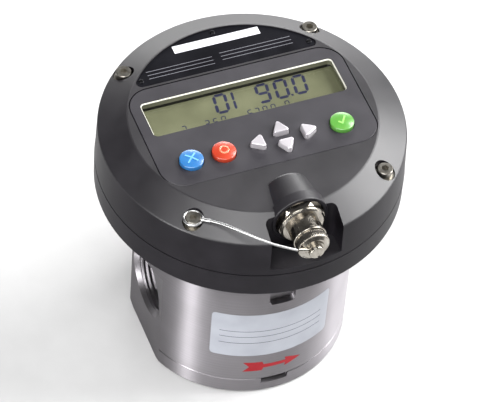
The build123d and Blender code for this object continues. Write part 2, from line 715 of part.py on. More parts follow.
def head_outside():
    """Drafted side wall, rounded shoulder, conical bevel and flat plateau, turned about Z."""
    corners = [
        (0, HOUSING_Z),
        (PARTING_R, HOUSING_Z),
        (SHOULDER_R, SHOULDER_Z),
        (PLATEAU_R, PLATEAU_Z),
        (0, PLATEAU_Z),
    ]
    outside = revolve(Plane.XZ * Polygon(*corners, align=None), Axis.Z)
    rims = outside.edges().filter_by(GeomType.CIRCLE).sort_by(Axis.Z)
    outside = fillet(rims[1], SHOULDER_FILLET)
    return chamfer(outside.edges().filter_by(GeomType.CIRCLE).sort_by(Axis.Z)[-1], PLATEAU_CHAMFER)


def head_inside():
    """Hollow of the housing, one wall inside its outer faces."""
    lean = (PARTING_R - SHOULDER_R) / (SHOULDER_Z - HOUSING_Z)
    corner_z = SHOULDER_Z - CORNER_DROP
    corner_r = SHOULDER_R - WALL + lean * (SHOULDER_Z - corner_z)
    slope = (SHOULDER_R - PLATEAU_R) / (PLATEAU_Z - SHOULDER_Z)
    top_r = corner_r - slope * (CEILING_Z - corner_z)
    low_z = HOUSING_Z - EPS
    low_r = PARTING_R - WALL
    corners = [(0, low_z), (low_r, low_z), (corner_r, corner_z), (top_r, CEILING_Z), (0, CEILING_Z)]
    return revolve(Plane.XZ * Polygon(*corners, align=None), Axis.Z)


def snout(back_r, front_r, back_y, front_y):
    """Cone along the connector's axis."""
    return forward(back_y) * Cone(back_r, front_r, back_y - front_y, align=UP)


def pocket_cut():
    """Room round the connector, open to the front and to the top, with rounded inner corners."""
    depth = HEAD_R + 4 * EPS + POCKET_BACK_Y
    room = Box(2 * POCKET_HALF, 2 * depth, PLATEAU_Z, align=UP)
    room = fillet(room.edges().filter_by(Axis.Z), POCKET_CORNER_R)
    return Pos(0, POCKET_BACK_Y - depth, POCKET_FLOOR) * room


def name_plate_outline(outset):
    """Circle segment above the display panel, with rounded ends."""
    span = 4 * PLATE_R
    segment = Circle(PLATE_R + outset) & Pos(0, PLATE_CHORD_Y - outset + span / 2) * Rectangle(span, span)
    return fillet(segment.vertices(), PLATE_CORNER_R)


def panel_outline(inset):
    return RectangleRounded(PANEL_W - 2 * inset, PANEL_H - 2 * inset, PANEL_CORNER_R - inset)


def head_housing():
    outside = head_outside()
    boss = snout(SNOUT_BACK_R, SNOUT_R, SNOUT_BACK_Y, RIM_Y)
    boss = fillet(boss.edges().group_by(Axis.Y)[-1], SNOUT_FILLET)
    housing = outside + boss - head_inside()
    hollow_back = SNOUT_BACK_Y - SNOUT_WALL
    grow = (SNOUT_R - SNOUT_BACK_R) / (SNOUT_BACK_Y - RIM_Y)
    back_r = SNOUT_BACK_R - SNOUT_WALL + grow * SNOUT_WALL
    front_r = back_r + grow * (hollow_back - SHELF_BACK_Y)
    housing -= snout(back_r, front_r, hollow_back, SHELF_BACK_Y)
    width = 2 * (POCKET_HALF + POCKET_WALL)
    middle_y = (SHELF_BACK_Y - HEAD_R) / 2
    shell = block(width, HEAD_R + SHELF_BACK_Y, POCKET_FLOOR - POCKET_WALL, PLATEAU_Z, 0, middle_y)
    housing += shell & outside
    housing -= pocket_cut()
    rim = rod(SNOUT_R, SHELF_BACK_Y, RIM_Y)
    rim = fillet(rim.edges().group_by(Axis.Y)[0], RIM_FILLET)
    housing += rim
    housing -= rod(SNOUT_R - RIM_WALL, SHELF_FRONT_Y, RIM_Y - EPS)
    housing -= rod(BARREL_R + BARREL_CLEAR, SHELF_BACK_Y + EPS, RIM_Y)
    for x, y in HEAD_SCREW_PLACES:
        housing += disc(POST_R, HOUSING_Z, SHOULDER_Z, x, y) & outside
        housing -= disc(WELL_R, WELL_FLOOR, PLATEAU_Z + EPS, x, y)
        housing -= disc(M4_CLEAR_R, HOUSING_Z - EPS, PLATEAU_Z, x, y)
    housing -= slab(panel_outline(-SEAM), LEDGE_Z, PLATEAU_Z + EPS)
    housing -= slab(panel_outline(PANEL_LEDGE - SEAM), CEILING_Z - EPS, PLATEAU_Z)
    housing -= slab(name_plate_outline(SEAM / 2), PLATE_TOP - PLATE_T, PLATEAU_Z + EPS)
    pin_low = PLATE_TOP - PIN_L - PIN_ROOM
    housing -= [disc(PIN_R, pin_low, PLATEAU_Z, x, y) for x, y in PLATE_PINS]
    return housing


def head_screws():
    sizes = (M4_HEAD_R, M4_HEAD_H, M4_SHANK_R, HEAD_SCREW_L, M4_KEY, HEAD_SEAT_Z)
    return group([socket_screw(*sizes, x, y) for x, y in HEAD_SCREW_PLACES])


def head_washers():
    return group([ring(WASHER_R, M4_CLEAR_R, WELL_FLOOR, HEAD_SEAT_Z, x, y) for x, y in HEAD_SCREW_PLACES])


# Display


def window_outline(outset):
    corner = WINDOW_CORNER_R + max(outset, 0)
    return Pos(0, WINDOW_Y) * RectangleRounded(WINDOW_W + 2 * outset, WINDOW_H + 2 * outset, corner)


def arrow_outline(outset):
    """Rounded triangle that points to +Y, its centroid at the middle."""
    half = ARROW_BASE / 2
    low = -ARROW_H / 3
    triangle = Polygon((-half, low), (half, low), (0, low + ARROW_H), align=None)
    outline = fillet(triangle.vertices(), ARROW_CORNER_R)
    if outset:
        outline = offset(outline, outset)
    return outline


def arrow_keys():
    """Name, place and turn of each arrow key."""
    return {
        "left_key": (ARROW_CENTRE_X - ARROW_SIDE, KEY_Y, 90),
        "right_key": (ARROW_CENTRE_X + ARROW_SIDE, KEY_Y, -90),
        "up_key": (ARROW_CENTRE_X, KEY_Y + ARROW_RISE, 0),
        "down_key": (ARROW_CENTRE_X, KEY_Y - ARROW_RISE, 180),
    }


def key_sections(outset):
    """Outline of every key by name, at its place, grown by the outset."""
    sections = {name: Pos(x, KEY_Y) * Circle(ROUND_KEY_R + outset) for name, x in ROUND_KEYS.items()}
    for name, (x, y, turn) in arrow_keys().items():
        sections[name] = Pos(x, y) * Rot(0, 0, turn) * arrow_outline(outset)
    return sections


def key_centres():
    centres = {name: (x, KEY_Y) for name, x in ROUND_KEYS.items()}
    centres.update({name: (x, y) for name, (x, y, turn) in arrow_keys().items()})
    return centres


def display_panel():
    """Panel that drops into the housing, with the window, the key holes and its screw bosses."""
    panel = slab(panel_outline(0), LEDGE_Z, PLATEAU_Z)
    panel = chamfer(panel.edges().group_by(Axis.Z)[-1], PANEL_CHAMFER)
    panel += slab(panel_outline(PANEL_LEDGE), PANEL_BOTTOM, LEDGE_Z)
    edge = PANEL_LEDGE + PANEL_WALL
    high = WINDOW_Y - WINDOW_H / 2 - LENS_LIP - PANEL_WALL
    low = edge - PANEL_H / 2
    key_room = Pos(0, (high + low) / 2) * RectangleRounded(PANEL_W - 2 * edge, high - low, KEY_ROOM_CORNER_R)
    panel -= slab(key_room, PANEL_BOTTOM - EPS, KEY_PLATE_Z)
    panel -= slab(window_outline(0), PANEL_BOTTOM - EPS, PLATEAU_Z + EPS)
    panel -= slab(window_outline(LENS_LIP), PANEL_BOTTOM - EPS, LENS_TOP)
    panel -= [slab(section, KEY_PLATE_Z - EPS, PLATEAU_Z + EPS) for section in key_sections(KEY_GAP).values()]
    for x, y in BOSS_PLACES:
        panel += disc(BOSS_R, BOARD_TOP, KEY_PLATE_Z + EPS, x, y)
        panel -= disc(M2_SHANK_R, BOARD_TOP - EPS, BOARD_TOP + BOSS_BORE_L, x, y)
    return panel


def display_window():
    return slab(window_outline(LENS_LIP - STACK_GAP), LENS_TOP - LENS_H, LENS_TOP)


def display_glass():
    """Glass sandwich of the display, its contact edge a step thinner."""
    glass = slab(window_outline(LENS_LIP - STACK_GAP), GLASS_BOTTOM, GLASS_TOP)
    edge = WINDOW_Y + WINDOW_H / 2 + LENS_LIP
    step = 2 * CONTACT_EDGE + STACK_GAP
    return glass - block(2 * WINDOW_W, step, GLASS_BOTTOM + GLASS_H / 2, GLASS_TOP + EPS, 0, edge)


def contact_strips():
    reach = WINDOW_H / 2 - STRIP_W / 2
    width = WINDOW_W - 2 * STRIP_INSET
    return group([block(width, STRIP_W, BOARD_TOP, GLASS_BOTTOM, 0, WINDOW_Y + s * reach) for s in (-1, 1)])


def round_key(name):
    """Round key with a gently crowned top."""
    x = ROUND_KEYS[name]
    top = PLATEAU_Z + KEY_RISE
    crown_r = (ROUND_KEY_R**2 + KEY_CROWN**2) / (2 * KEY_CROWN)
    cap = disc(ROUND_KEY_R, KEY_STOP_Z, top, x, KEY_Y) & Pos(x, KEY_Y, top - crown_r) * Sphere(crown_r)
    rim = cap.edges().filter_by(lambda edge: edge.is_closed).sort_by(Axis.Z)[-1]
    return finish_key(fillet(rim, KEY_EDGE), Pos(x, KEY_Y) * Circle(ROUND_KEY_R + KEY_FLANGE), x, KEY_Y)


def arrow_key(name):
    """Rounded triangle whose sides lean in above the panel."""
    x, y, turn = arrow_keys()[name]
    place = Pos(x, y) * Rot(0, 0, turn)
    top = PLATEAU_Z + KEY_RISE
    cap = slab(place * arrow_outline(0), KEY_STOP_Z, PLATEAU_Z)
    rise = [Pos(0, 0, PLATEAU_Z) * arrow_outline(0), Pos(0, 0, top) * arrow_outline(-ARROW_LEAN)]
    cap += place * loft(rise)
    cap = fillet(cap.edges().group_by(Axis.Z)[-1], KEY_EDGE)
    return finish_key(cap, place * arrow_outline(ARROW_FLANGE), x, y)


def finish_key(cap, flange, x, y):
    """Add the flange that keeps a key in, and its plunger."""
    key = cap + slab(flange, KEY_STOP_Z - KEY_FLANGE_H, KEY_STOP_Z)
    return key + disc(PLUNGER_R, PLUNGER_Z, KEY_STOP_Z, x, y)


def key_mat():
    """Silicone mat with one snap dome under each key."""
    mat = slab(Pos(0, KEY_Y) * RectangleRounded(MAT_W, MAT_H, MAT_CORNER_R), BOARD_TOP, BOARD_TOP + MAT_T)
    for x, y in key_centres().values():
        mat += Pos(x, y, BOARD_TOP + MAT_T) * Cone(DOME_R, DOME_R * 0.6, DOME_H, align=UP)
    mat -= [disc(BOSS_R + MAT_GAP, BOARD_TOP - EPS, KEY_STOP_Z, x, y) for x, y in BOSS_PLACES]
    return mat


def circuit_board():
    outline = RectangleRounded(PANEL_W - 2 * BOARD_INSET, PANEL_H - 2 * BOARD_INSET, BOARD_CORNER_R)
    board = slab(outline, BOARD_BOTTOM, BOARD_TOP)
    board -= [disc(M2_CLEAR_R, BOARD_BOTTOM - EPS, BOARD_TOP + EPS, x, y) for x, y in BOSS_PLACES]
    return board


def board_screws():
    screws = []
    for x, y in BOSS_PLACES:
        head = disc(M2_HEAD_R, BOARD_BOTTOM - M2_HEAD_H, BOARD_BOTTOM, x, y)
        screws.append(head + disc(M2_SHANK_R, BOARD_BOTTOM, BOARD_TOP + M2_REACH, x, y))
    return group(screws)


# Battery


def cell_places():
    return [(0, side * CELL_PITCH / 2) for side in (-1, 1)]


def cell_axis_z():
    return FLOOR_Z + HOLDER_WALL / 2 + CELL_R + CELL_GAP


def battery_cells():
    cells = []
    for x, y in cell_places():
        place = Pos(x, y, cell_axis_z()) * Rot(0, 90, 0)
        cell = Cylinder(CELL_R, CELL_L) + Pos(0, 0, CELL_L / 2) * Cylinder(CELL_NUB_R, CELL_NUB_L, align=UP)
        cells.append(place * cell)
    return group(cells)


def battery_holder():
    """Open tray with a round trough for each cell."""
    room = CELL_L / 2 + CONTACT_T + SPRING_ROOM
    length = 2 * (room + HOLDER_WALL)
    width = 2 * CELL_PITCH + 2 * HOLDER_WALL
    tray = block(length, width, FLOOR_Z, FLOOR_Z + HOLDER_H)
    for x, y in cell_places():
        tray -= Pos(x, y, cell_axis_z()) * Rot(0, 90, 0) * Cylinder(CELL_R + CELL_GAP, 2 * room)
    return tray


def battery_contacts():
    """Spring plates at the ends of the troughs."""
    plates = []
    reach = CELL_L / 2 + SPRING_ROOM
    half = CELL_R - HOLDER_WALL
    for x, y in cell_places():
        for end in (-1, 1):
            middle = end * (reach + CONTACT_T / 2)
            plate = block(CONTACT_T, 2 * half, cell_axis_z() - half, cell_axis_z() + half, middle, y)
            nib = Rot(0, 90, 0) * Cylinder(CELL_NUB_R * 0.7, CONTACT_T)
            nib = Pos(end * (reach - CONTACT_T / 2), y, cell_axis_z()) * nib
            plates.append(plate + nib)
    return group(plates)


# Name plate


def name_plate():
    plate = slab(name_plate_outline(0), PLATE_TOP - PLATE_T, PLATE_TOP)
    return plate - [disc(PIN_R, PLATE_TOP - PLATE_T - EPS, PLATE_TOP + EPS, x, y) for x, y in PLATE_PINS]


def name_plate_pins():
    pins = []
    for x, y in PLATE_PINS:
        head = disc(PIN_HEAD_R, PLATE_TOP, PLATE_TOP + PIN_HEAD_H, x, y)
        head = fillet(head.edges().group_by(Axis.Z)[-1], PIN_HEAD_H * 0.8)
        pins.append(head + disc(PIN_R, PLATE_TOP - PIN_L, PLATE_TOP, x, y))
    return group(pins)


# Connector


def connector_shell():
    """Barrel clamped through the snout, with a slotted sleeve and a nose that the cap screws on."""
    seal_front = SHELF_BACK_Y + CONNECTOR_SEAL_T
    shell = rod(FLANGE_R, seal_front + FLANGE_T, seal_front)
    shell += rod(BARREL_R, seal_front, NUT_FRONT_Y)
    shell += rod(SLEEVE_R, NUT_FRONT_Y, SLEEVE_FRONT_Y)
    nose = rod(NOSE_R, SLEEVE_FRONT_Y, NOSE_FRONT_Y)
    shell += chamfer(nose.edges().group_by(Axis.Y)[0], NOSE_CHAMFER)
    for k in range(SLEEVE_SLOTS):
        slot = Box(SLOT_W, 2 * SLOT_DEPTH, SLEEVE_L, align=UP)
        spin = Rot(0, 0, (k + 0.5) * 360 / SLEEVE_SLOTS)
        shell -= forward(NUT_FRONT_Y - SLOT_START) * spin * Pos(0, SLEEVE_R, 0) * slot
    return shell - rod(NOSE_BORE_R, seal_front + FLANGE_T + EPS, NOSE_FRONT_Y - EPS)


def connector_seal():
    return sleeve(FLANGE_R, BARREL_R + BARREL_CLEAR, SHELF_BACK_Y + CONNECTOR_SEAL_T, SHELF_BACK_Y)


def lock_washer():
    return sleeve(LOCK_WASHER_R, BARREL_R + BARREL_CLEAR, SHELF_FRONT_Y, NUT_BACK_Y)


def connector_nut():
    """Hexagon nut with a round collar turned on its front."""
    outline = RegularPolygon(NUT_ACROSS / 2, 6, major_radius=False, rotation=NUT_TURN)
    hexagon = forward(NUT_BACK_Y) * extrude(outline, NUT_T)
    chamfered = forward(NUT_BACK_Y) * Cone(NUT_ACROSS * 0.62, NUT_ACROSS * 0.54, NUT_T, align=UP)
    collar = rod(NUT_COLLAR_R, NUT_BACK_Y - NUT_T, NUT_FRONT_Y)
    collar = chamfer(collar.edges().group_by(Axis.Y)[0], NUT_CHAMFER)
    nut = (hexagon & chamfered) + collar
    return nut - rod(BARREL_R + THREAD_CLEAR, NUT_BACK_Y + EPS, NUT_FRONT_Y - EPS)


def connector_insert():
    """Moulded insulator that carries the contacts."""
    back = SHELF_BACK_Y + CONNECTOR_SEAL_T + FLANGE_T
    insert = rod(NOSE_BORE_R, back, NOSE_FRONT_Y + INSERT_FACE)
    for x, z in contact_places():
        insert -= rod(CONTACT_R, back + EPS, NOSE_FRONT_Y, x, z)
    return insert


def contact_places():
    """Contacts on a circle about the connector's axis, and one in the middle."""
    places = [on_circle(CONTACT_CIRCLE_R, 90 + k * 360 / PIN_COUNT) for k in range(PIN_COUNT)]
    return [(x, AXIS_Z + z) for x, z in places + [(0, 0)]]


def connector_pins():
    front = NOSE_FRONT_Y + CONTACT_SUNK
    return group([rod(CONTACT_R, front + CONTACT_L, front, x, z) for x, z in contact_places()])


# Dust cap and tether


def dust_cap():
    """Turned cap: smooth rim, groove, knurled grip and chamfered face."""
    rim = rod(CAP_R, CAP_BACK_Y, CAP_BACK_Y - CAP_RIM_L)
    rim = fillet(rim.edges().group_by(Axis.Y)[0] + rim.edges().group_by(Axis.Y)[-1], CAP_RIM_FILLET)
    groove_front = CAP_BACK_Y - CAP_RIM_L - CAP_GROOVE_L
    chamfer_y = CAP_FACE_Y + CAP_CHAMFER_L
    grip_l = groove_front - chamfer_y
    teeth = Circle(CAP_KNURL_R)
    notch = RegularPolygon(KNURL_DEPTH * 1.3, 4)
    teeth -= [Rot(0, 0, k * 360 / KNURL_COUNT) * Pos(CAP_KNURL_R, 0) * notch for k in range(KNURL_COUNT)]
    cap = rim + rod(CAP_GROOVE_R, CAP_BACK_Y - CAP_RIM_L, groove_front)
    cap += forward(groove_front) * extrude(teeth, grip_l)
    cap += forward(chamfer_y) * Cone(CAP_KNURL_R - KNURL_DEPTH, CAP_FACE_R, CAP_CHAMFER_L, align=UP)
    cap -= rod(NOSE_R + CAP_BORE_GAP, CAP_BACK_Y + EPS, cap_bore_end())
    return cap - rod(CAP_SCREW_SHANK_R, cap_bore_end() + EPS, CAP_FACE_Y - EPS)


def cap_bore_end():
    return NOSE_FRONT_Y - CAP_NECK - CAP_SEAL_T


def cap_seal():
    """Flat rubber ring in the bottom of the cap."""
    back = cap_bore_end() + CAP_SEAL_T
    return sleeve(NOSE_R, NOSE_R - CAP_SEAL_W, back, cap_bore_end())


def cap_screw():
    """Slotted pan-head screw that keeps the ring terminal on the cap."""
    back = CAP_FACE_Y - TERMINAL_T
    head = rod(CAP_SCREW_R, back, back - CAP_SCREW_H)
    head = fillet(head.edges().group_by(Axis.Y)[0], CAP_SCREW_H * 0.4)
    slot = Box(CAP_SCREW_SLOT, 3 * CAP_SCREW_R, CAP_SCREW_H, align=UP)
    slot = forward(back - CAP_SCREW_H * 0.5) * Rot(0, 0, CAP_SCREW_TURN) * slot
    return head - slot + rod(CAP_SCREW_SHANK_R, back + CAP_SCREW_L, back)


def terminal_way():
    """Direction in which the crimp of the ring terminal points."""
    tilt = math.radians(TERMINAL_TILT)
    return Vector(-math.cos(tilt), 0, math.sin(tilt))


def crimp_end():
    return Vector(0, TERMINAL_Y, AXIS_Z) + terminal_way() * CRIMP_END


def ring_terminal():
    """Washer-like ring under the cap screw, with the crimp that grips the tether."""
    terminal = rod(TERMINAL_R, CAP_FACE_Y, CAP_FACE_Y - TERMINAL_T)
    reach = TERMINAL_R - TERMINAL_T
    start = Vector(0, TERMINAL_Y, AXIS_Z) + terminal_way() * reach
    crimp = Plane(origin=start, z_dir=terminal_way()) * Cylinder(CRIMP_R, CRIMP_END - reach, align=UP)
    room = rod(TERMINAL_R + CRIMP_END, CAP_FACE_Y + 2 * CRIMP_R, CAP_FACE_Y)
    outer = rod(CAP_R + TERMINAL_GAP, CAP_FACE_Y + 2 * CRIMP_R, CAP_FACE_Y)
    terminal += crimp - (room & outer)
    return terminal - rod(TERMINAL_HOLE_R, CAP_FACE_Y + EPS, CAP_FACE_Y - TERMINAL_T - EPS)


def noose_centre():
    return Vector(-HEAD_SCREW_XY, -HEAD_SCREW_XY, HEAD_SEAT_Z + M4_HEAD_H - TETHER_R)


def ferrule_way():
    turn = math.radians(FERRULE_TURN)
    rise = math.radians(FERRULE_RISE)
    return Vector(math.cos(turn) * math.cos(rise), math.sin(turn) * math.cos(rise), math.sin(rise))


def tether_noose():
    """Wire loop round the head of one head screw, closed by a ferrule."""
    noose = Pos(*noose_centre()) * Torus(NOOSE_R, TETHER_R)
    start = noose_centre() + ferrule_way() * NOOSE_R
    ferrule = Cylinder(FERRULE_R, FERRULE_REACH - NOOSE_R, align=UP)
    return noose + Plane(origin=start, z_dir=ferrule_way()) * ferrule


def tether_route():
    start = noose_centre() + ferrule_way() * FERRULE_REACH
    end = crimp_end() + terminal_way() * TETHER_END_GAP
    way = end - start
    side = way.cross(Vector(0, 0, 1)).normalized() * way.length
    up = Vector(0, 0, way.length)
    return [start] + [start + way * a + side * b + up * c for a, b, c in TETHER_BOW] + [end]


def tether_wire():
    """Steel wire rope between the noose and the cap, straight runs joined by tangent arcs."""
    points = tether_route()
    radii = []
    for before, here, after in zip(points, points[1:], points[2:]):
        turn = math.radians((here - before).get_angle(after - here))
        shorter = min((here - before).length, (after - here).length)
        radii.append(0.45 * shorter / math.tan(turn / 2))
    path = FilletPolyline(*points, radius=radii)
    print("tether radii", [round(r, 1) for r in radii], "length", round(path.length, 1))
    section = Plane(origin=points[0], z_dir=points[1] - points[0]) * Circle(TETHER_R)
    wire = sweep(section, path=path)
    print("tether volume", round(wire.volume, 2), "expected", round(math.pi * TETHER_R**2 * path.length, 2))
    return wire


def main():
    os.makedirs("parts", exist_ok=True)
    save("meter_body", meter_body())
    save("bottom_cover", bottom_cover())
    save("chamber_seal", chamber_seal())
    save("cover_screws", cover_screws())
    save("rotor_a", rotor(-1, 0, True))
    save("rotor_b", rotor(1, 90, False))
    save("rotor_magnets", rotor_magnets())
    for name, side in (("a", -1), ("b", 1)):
        save(f"rotor_bushes_{name}", rotor_bushes(side))
        save(f"rotor_shaft_{name}", rotor_shaft(side))
    save("pickup_sensor", pickup_sensor())
    save("pickup_screws", pickup_screws())
    save("body_seal", body_seal())
    save("head_base", head_base())
    save("base_screws", base_screws())
    save("head_inserts", head_inserts())
    save("head_gasket", head_gasket())
    save("head_housing", head_housing())
    save("head_screws", head_screws())
    save("head_washers", head_washers())
    save("display_panel", display_panel())
    save("display_window", display_window())
    save("display_glass", display_glass())
    save("contact_strips", contact_strips())
    for name in ROUND_KEYS:
        save(name, round_key(name))
    for name in arrow_keys():
        save(name, arrow_key(name))
    save("key_mat", key_mat())
    save("circuit_board", circuit_board())
    save("board_screws", board_screws())
    save("battery_holder", battery_holder())
    save("battery_cells", battery_cells())
    save("battery_contacts", battery_contacts())
    save("name_plate", name_plate())
    save("name_plate_pins", name_plate_pins())
    save("connector_shell", connector_shell())
    save("connector_seal", connector_seal())
    save("lock_washer", lock_washer())
    save("connector_nut", connector_nut())
    save("connector_insert", connector_insert())
    save("connector_pins", connector_pins())
    save("dust_cap", dust_cap())
    save("cap_seal", cap_seal())
    save("cap_screw", cap_screw())
    save("ring_terminal", ring_terminal())
    save("tether_noose", tether_noose())
    save("tether_wire", tether_wire())


main()
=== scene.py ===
# %% [markdown]
# # A flow meter with an electronic head, dressed for the camera
# The meter comes from the CAD model with its pieces in place. This lesson gives each surface its
# finish and adds what is thin or fine: threads, prints, digits and the wire rope of the dust cap.
# All lengths are in metres, +Z is up, and the meter stands on its bottom cover at the origin.

import math

import bmesh
import bpy
import numpy as np
from mathutils import Matrix, Vector


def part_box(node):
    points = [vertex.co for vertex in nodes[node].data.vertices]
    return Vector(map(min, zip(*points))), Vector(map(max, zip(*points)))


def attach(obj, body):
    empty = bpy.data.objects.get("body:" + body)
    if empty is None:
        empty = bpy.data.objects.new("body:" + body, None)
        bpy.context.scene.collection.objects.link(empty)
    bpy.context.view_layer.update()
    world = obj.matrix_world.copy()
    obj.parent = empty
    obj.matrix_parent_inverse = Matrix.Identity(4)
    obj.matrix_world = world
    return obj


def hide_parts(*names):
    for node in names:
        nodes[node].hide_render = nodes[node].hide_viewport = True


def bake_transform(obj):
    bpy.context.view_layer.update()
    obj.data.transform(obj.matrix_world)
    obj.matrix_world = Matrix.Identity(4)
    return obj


MM = 0.001
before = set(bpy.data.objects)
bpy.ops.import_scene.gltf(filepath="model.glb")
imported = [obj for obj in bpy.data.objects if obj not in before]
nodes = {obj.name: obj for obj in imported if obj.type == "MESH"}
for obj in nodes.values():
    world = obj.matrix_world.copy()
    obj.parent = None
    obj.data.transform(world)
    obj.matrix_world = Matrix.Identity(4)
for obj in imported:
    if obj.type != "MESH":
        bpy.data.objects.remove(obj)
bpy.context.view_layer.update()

# %% [markdown]
# The camera looks at the meter from the front left and from well above, through a long lens, so
# the round head shows as a nearly true ellipse. Its place and its turn were solved from the
# ellipse of the head, the corners of the display and the port axis. A long lens is a large focal
# length against Blender's 36 mm sensor.

# %% Camera
CAMERA_PLACE = Vector((-374.18, -812.61, 1129.57)) * MM
CAMERA_RIGHT = Vector((0.932199, -0.357420, 0.057065))
CAMERA_UP = Vector((0.238638, 0.725468, 0.645560))
FOCAL_PIXELS = 3015.2
FRAME_PIXELS = 499

camera_data = bpy.data.cameras.new("camera")
camera_data.lens = camera_data.sensor_width * FOCAL_PIXELS / FRAME_PIXELS
camera_data.clip_end = 20
camera = bpy.data.objects.new("camera", camera_data)
bpy.context.scene.collection.objects.link(camera)
camera_back = CAMERA_RIGHT.cross(CAMERA_UP)
camera.matrix_world = Matrix.Translation(CAMERA_PLACE) @ Matrix(
    (CAMERA_RIGHT, CAMERA_UP, camera_back)
).transposed().to_4x4()
bpy.context.scene.camera = camera
print("lens", round(camera_data.lens, 1), "mm")

# %% [markdown]
# Every new piece is one or more patches. A patch is a grid of points, worked out with numpy as a
# whole array, and a flag for each of its two directions that says if the grid closes on itself.
# The faces are the quads between neighbouring points. Points that fall together, as at a pole or
# at the end of a strip, are merged, and the normals are made to point outwards.

# %% From grids to meshes


def grid_faces(rows, columns, wrap_rows, wrap_columns, first):
    """Corners of the quads of a grid, where point (i, j) has the number first + i columns + j."""
    i = np.arange(rows if wrap_rows else rows - 1)
    j = np.arange(columns if wrap_columns else columns - 1)
    i, j = np.meshgrid(i, j, indexing="ij")
    below, right = (i + 1) % rows, (j + 1) % columns
    corners = [i * columns + j, i * columns + right, below * columns + right, below * columns + j]
    return first + np.stack(corners, -1).reshape(-1, 4)


def mesh_of(name, patches):
    """One mesh from patches (points, wrap_rows, wrap_columns), whose points have the shape
    (rows, columns, 3)."""
    points, faces, first = [], [], 0
    for grid, wrap_rows, wrap_columns in patches:
        rows, columns = grid.shape[:2]
        points.append(grid.reshape(-1, 3))
        faces.append(grid_faces(rows, columns, wrap_rows, wrap_columns, first))
        first += rows * columns
    points, faces = np.concatenate(points), np.concatenate(faces)
    mesh = bpy.data.meshes.new(name)
    mesh.vertices.add(len(points))
    mesh.vertices.foreach_set("co", points.astype(np.float32).ravel())
    mesh.loops.add(faces.size)
    mesh.loops.foreach_set("vertex_index", faces.astype(np.int32).ravel())
    mesh.polygons.add(len(faces))
    mesh.polygons.foreach_set("loop_start", np.arange(0, faces.size, 4, dtype=np.int32))
    mesh.update(calc_edges=True)
    work = bmesh.new()
    work.from_mesh(mesh)
    bmesh.ops.remove_doubles(work, verts=work.verts, dist=1e-7)
    bmesh.ops.dissolve_degenerate(work, edges=work.edges, dist=1e-8)
    bmesh.ops.recalc_face_normals(work, faces=work.faces)
    work.to_mesh(mesh)
    work.free()
    return mesh


def piece(name, patches, material, body="meter", sharp=40.0):
    """A finished piece that rides on a body, smooth but for edges sharper than the angle."""
    mesh = mesh_of(name, patches)
    mesh.materials.append(material)
    mesh.shade_smooth()
    mesh.set_sharp_from_angle(angle=math.radians(sharp))
    made = bpy.data.objects.new(name, mesh)
    bpy.context.scene.collection.objects.link(made)
    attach(made, body)
    print(name, len(mesh.polygons), "faces on", body)
    return made


# %% [markdown]
# ## Materials
# Each material is one Principled shader with a few texture nodes in front of it. One function
# turns the sRGB hex colours, as a designer reads them from a swatch, into the linear values that
# Blender works in, one adds a node with its settings and links, and one starts a material. The
# patterns read Object coordinates, which are metres here, so a pattern's scale is 1 / its size.

# %% Helpers for materials


def linear(code):
    """Linear colour of an sRGB hex code: c / 12.92 below 0.04045, else
    ((c + 0.055) / 1.055) ** 2.4, with full opacity."""
    srgb = np.array([int(code[i : i + 2], 16) for i in (1, 3, 5)]) / 255
    value = np.where(srgb <= 0.04045, srgb / 12.92, ((srgb + 0.055) / 1.055) ** 2.4)
    return (*value.tolist(), 1.0)


def add(tree, kind, inputs=None, outputs=None, stops=(), **settings):
    """Add a node. Each entry of inputs names an input, and gives it a value or the socket that
    feeds it. Each entry of outputs names an output, and the socket that it feeds. The stops are
    the places and hex codes of a colour ramp."""
    made = tree.nodes.new(kind)
    for name, value in settings.items():
        setattr(made, name, value)
    for name, value in (inputs or {}).items():
        if isinstance(value, bpy.types.NodeSocket):
            tree.links.new(value, made.inputs[name])
        else:
            made.inputs[name].default_value = value
    for name, socket in (outputs or {}).items():
        tree.links.new(made.outputs[name], socket)
    for k, (position, code) in enumerate(stops):
        made.color_ramp.elements[k].position = position
        made.color_ramp.elements[k].color = linear(code)
    return made


def start(name, **shine):
    """A new material with its Principled shader, and the shader's plain settings."""
    made = bpy.data.materials.new(name)
    made.use_nodes = True
    shader = made.node_tree.nodes["Principled BSDF"]
    for socket, value in shine.items():
        shader.inputs[socket.replace("_", " ")].default_value = value
    return made, made.node_tree, shader


# %% [markdown]
# **Aluminium, turned on a lathe.** The tool leaves a fine spiral that runs round the axis: rings
# on the side wall, circles on the end faces. A ring is a place with the same radius and height,
# so a noise that reads only (radius, height) draws them all. The real feed of about 0.15 mm is
# finer than a pixel, so it is drawn at 0.6 mm. The grooves also stretch every reflection along
# the axis, which is why the body shows upright bands. The anisotropic setting does that, with a
# tangent turned a quarter so that it runs across the grooves.

# %% Turned aluminium
TURNING_FEED = 0.6 * MM
METAL_CLOUDS, CLOUD_SHARE = 25 * MM, 0.2


def ring_noise(tree, place, feed):
    """Noise that depends on the distance from the Z axis and on the height."""
    split = add(tree, "ShaderNodeSeparateXYZ", {"Vector": place}).outputs
    flat = add(tree, "ShaderNodeCombineXYZ", {"X": split["X"], "Y": split["Y"]})
    radius = add(tree, "ShaderNodeVectorMath", {0: flat.outputs["Vector"]}, operation="LENGTH")
    track = add(tree, "ShaderNodeCombineXYZ", {"X": radius.outputs["Value"], "Y": split["Z"]})
    spots = {"Vector": track.outputs["Vector"], "Scale": 1 / feed, "Detail": 2.0, "Roughness": 0.6}
    return add(tree, "ShaderNodeTexNoise", spots, noise_dimensions="2D").outputs["Fac"]


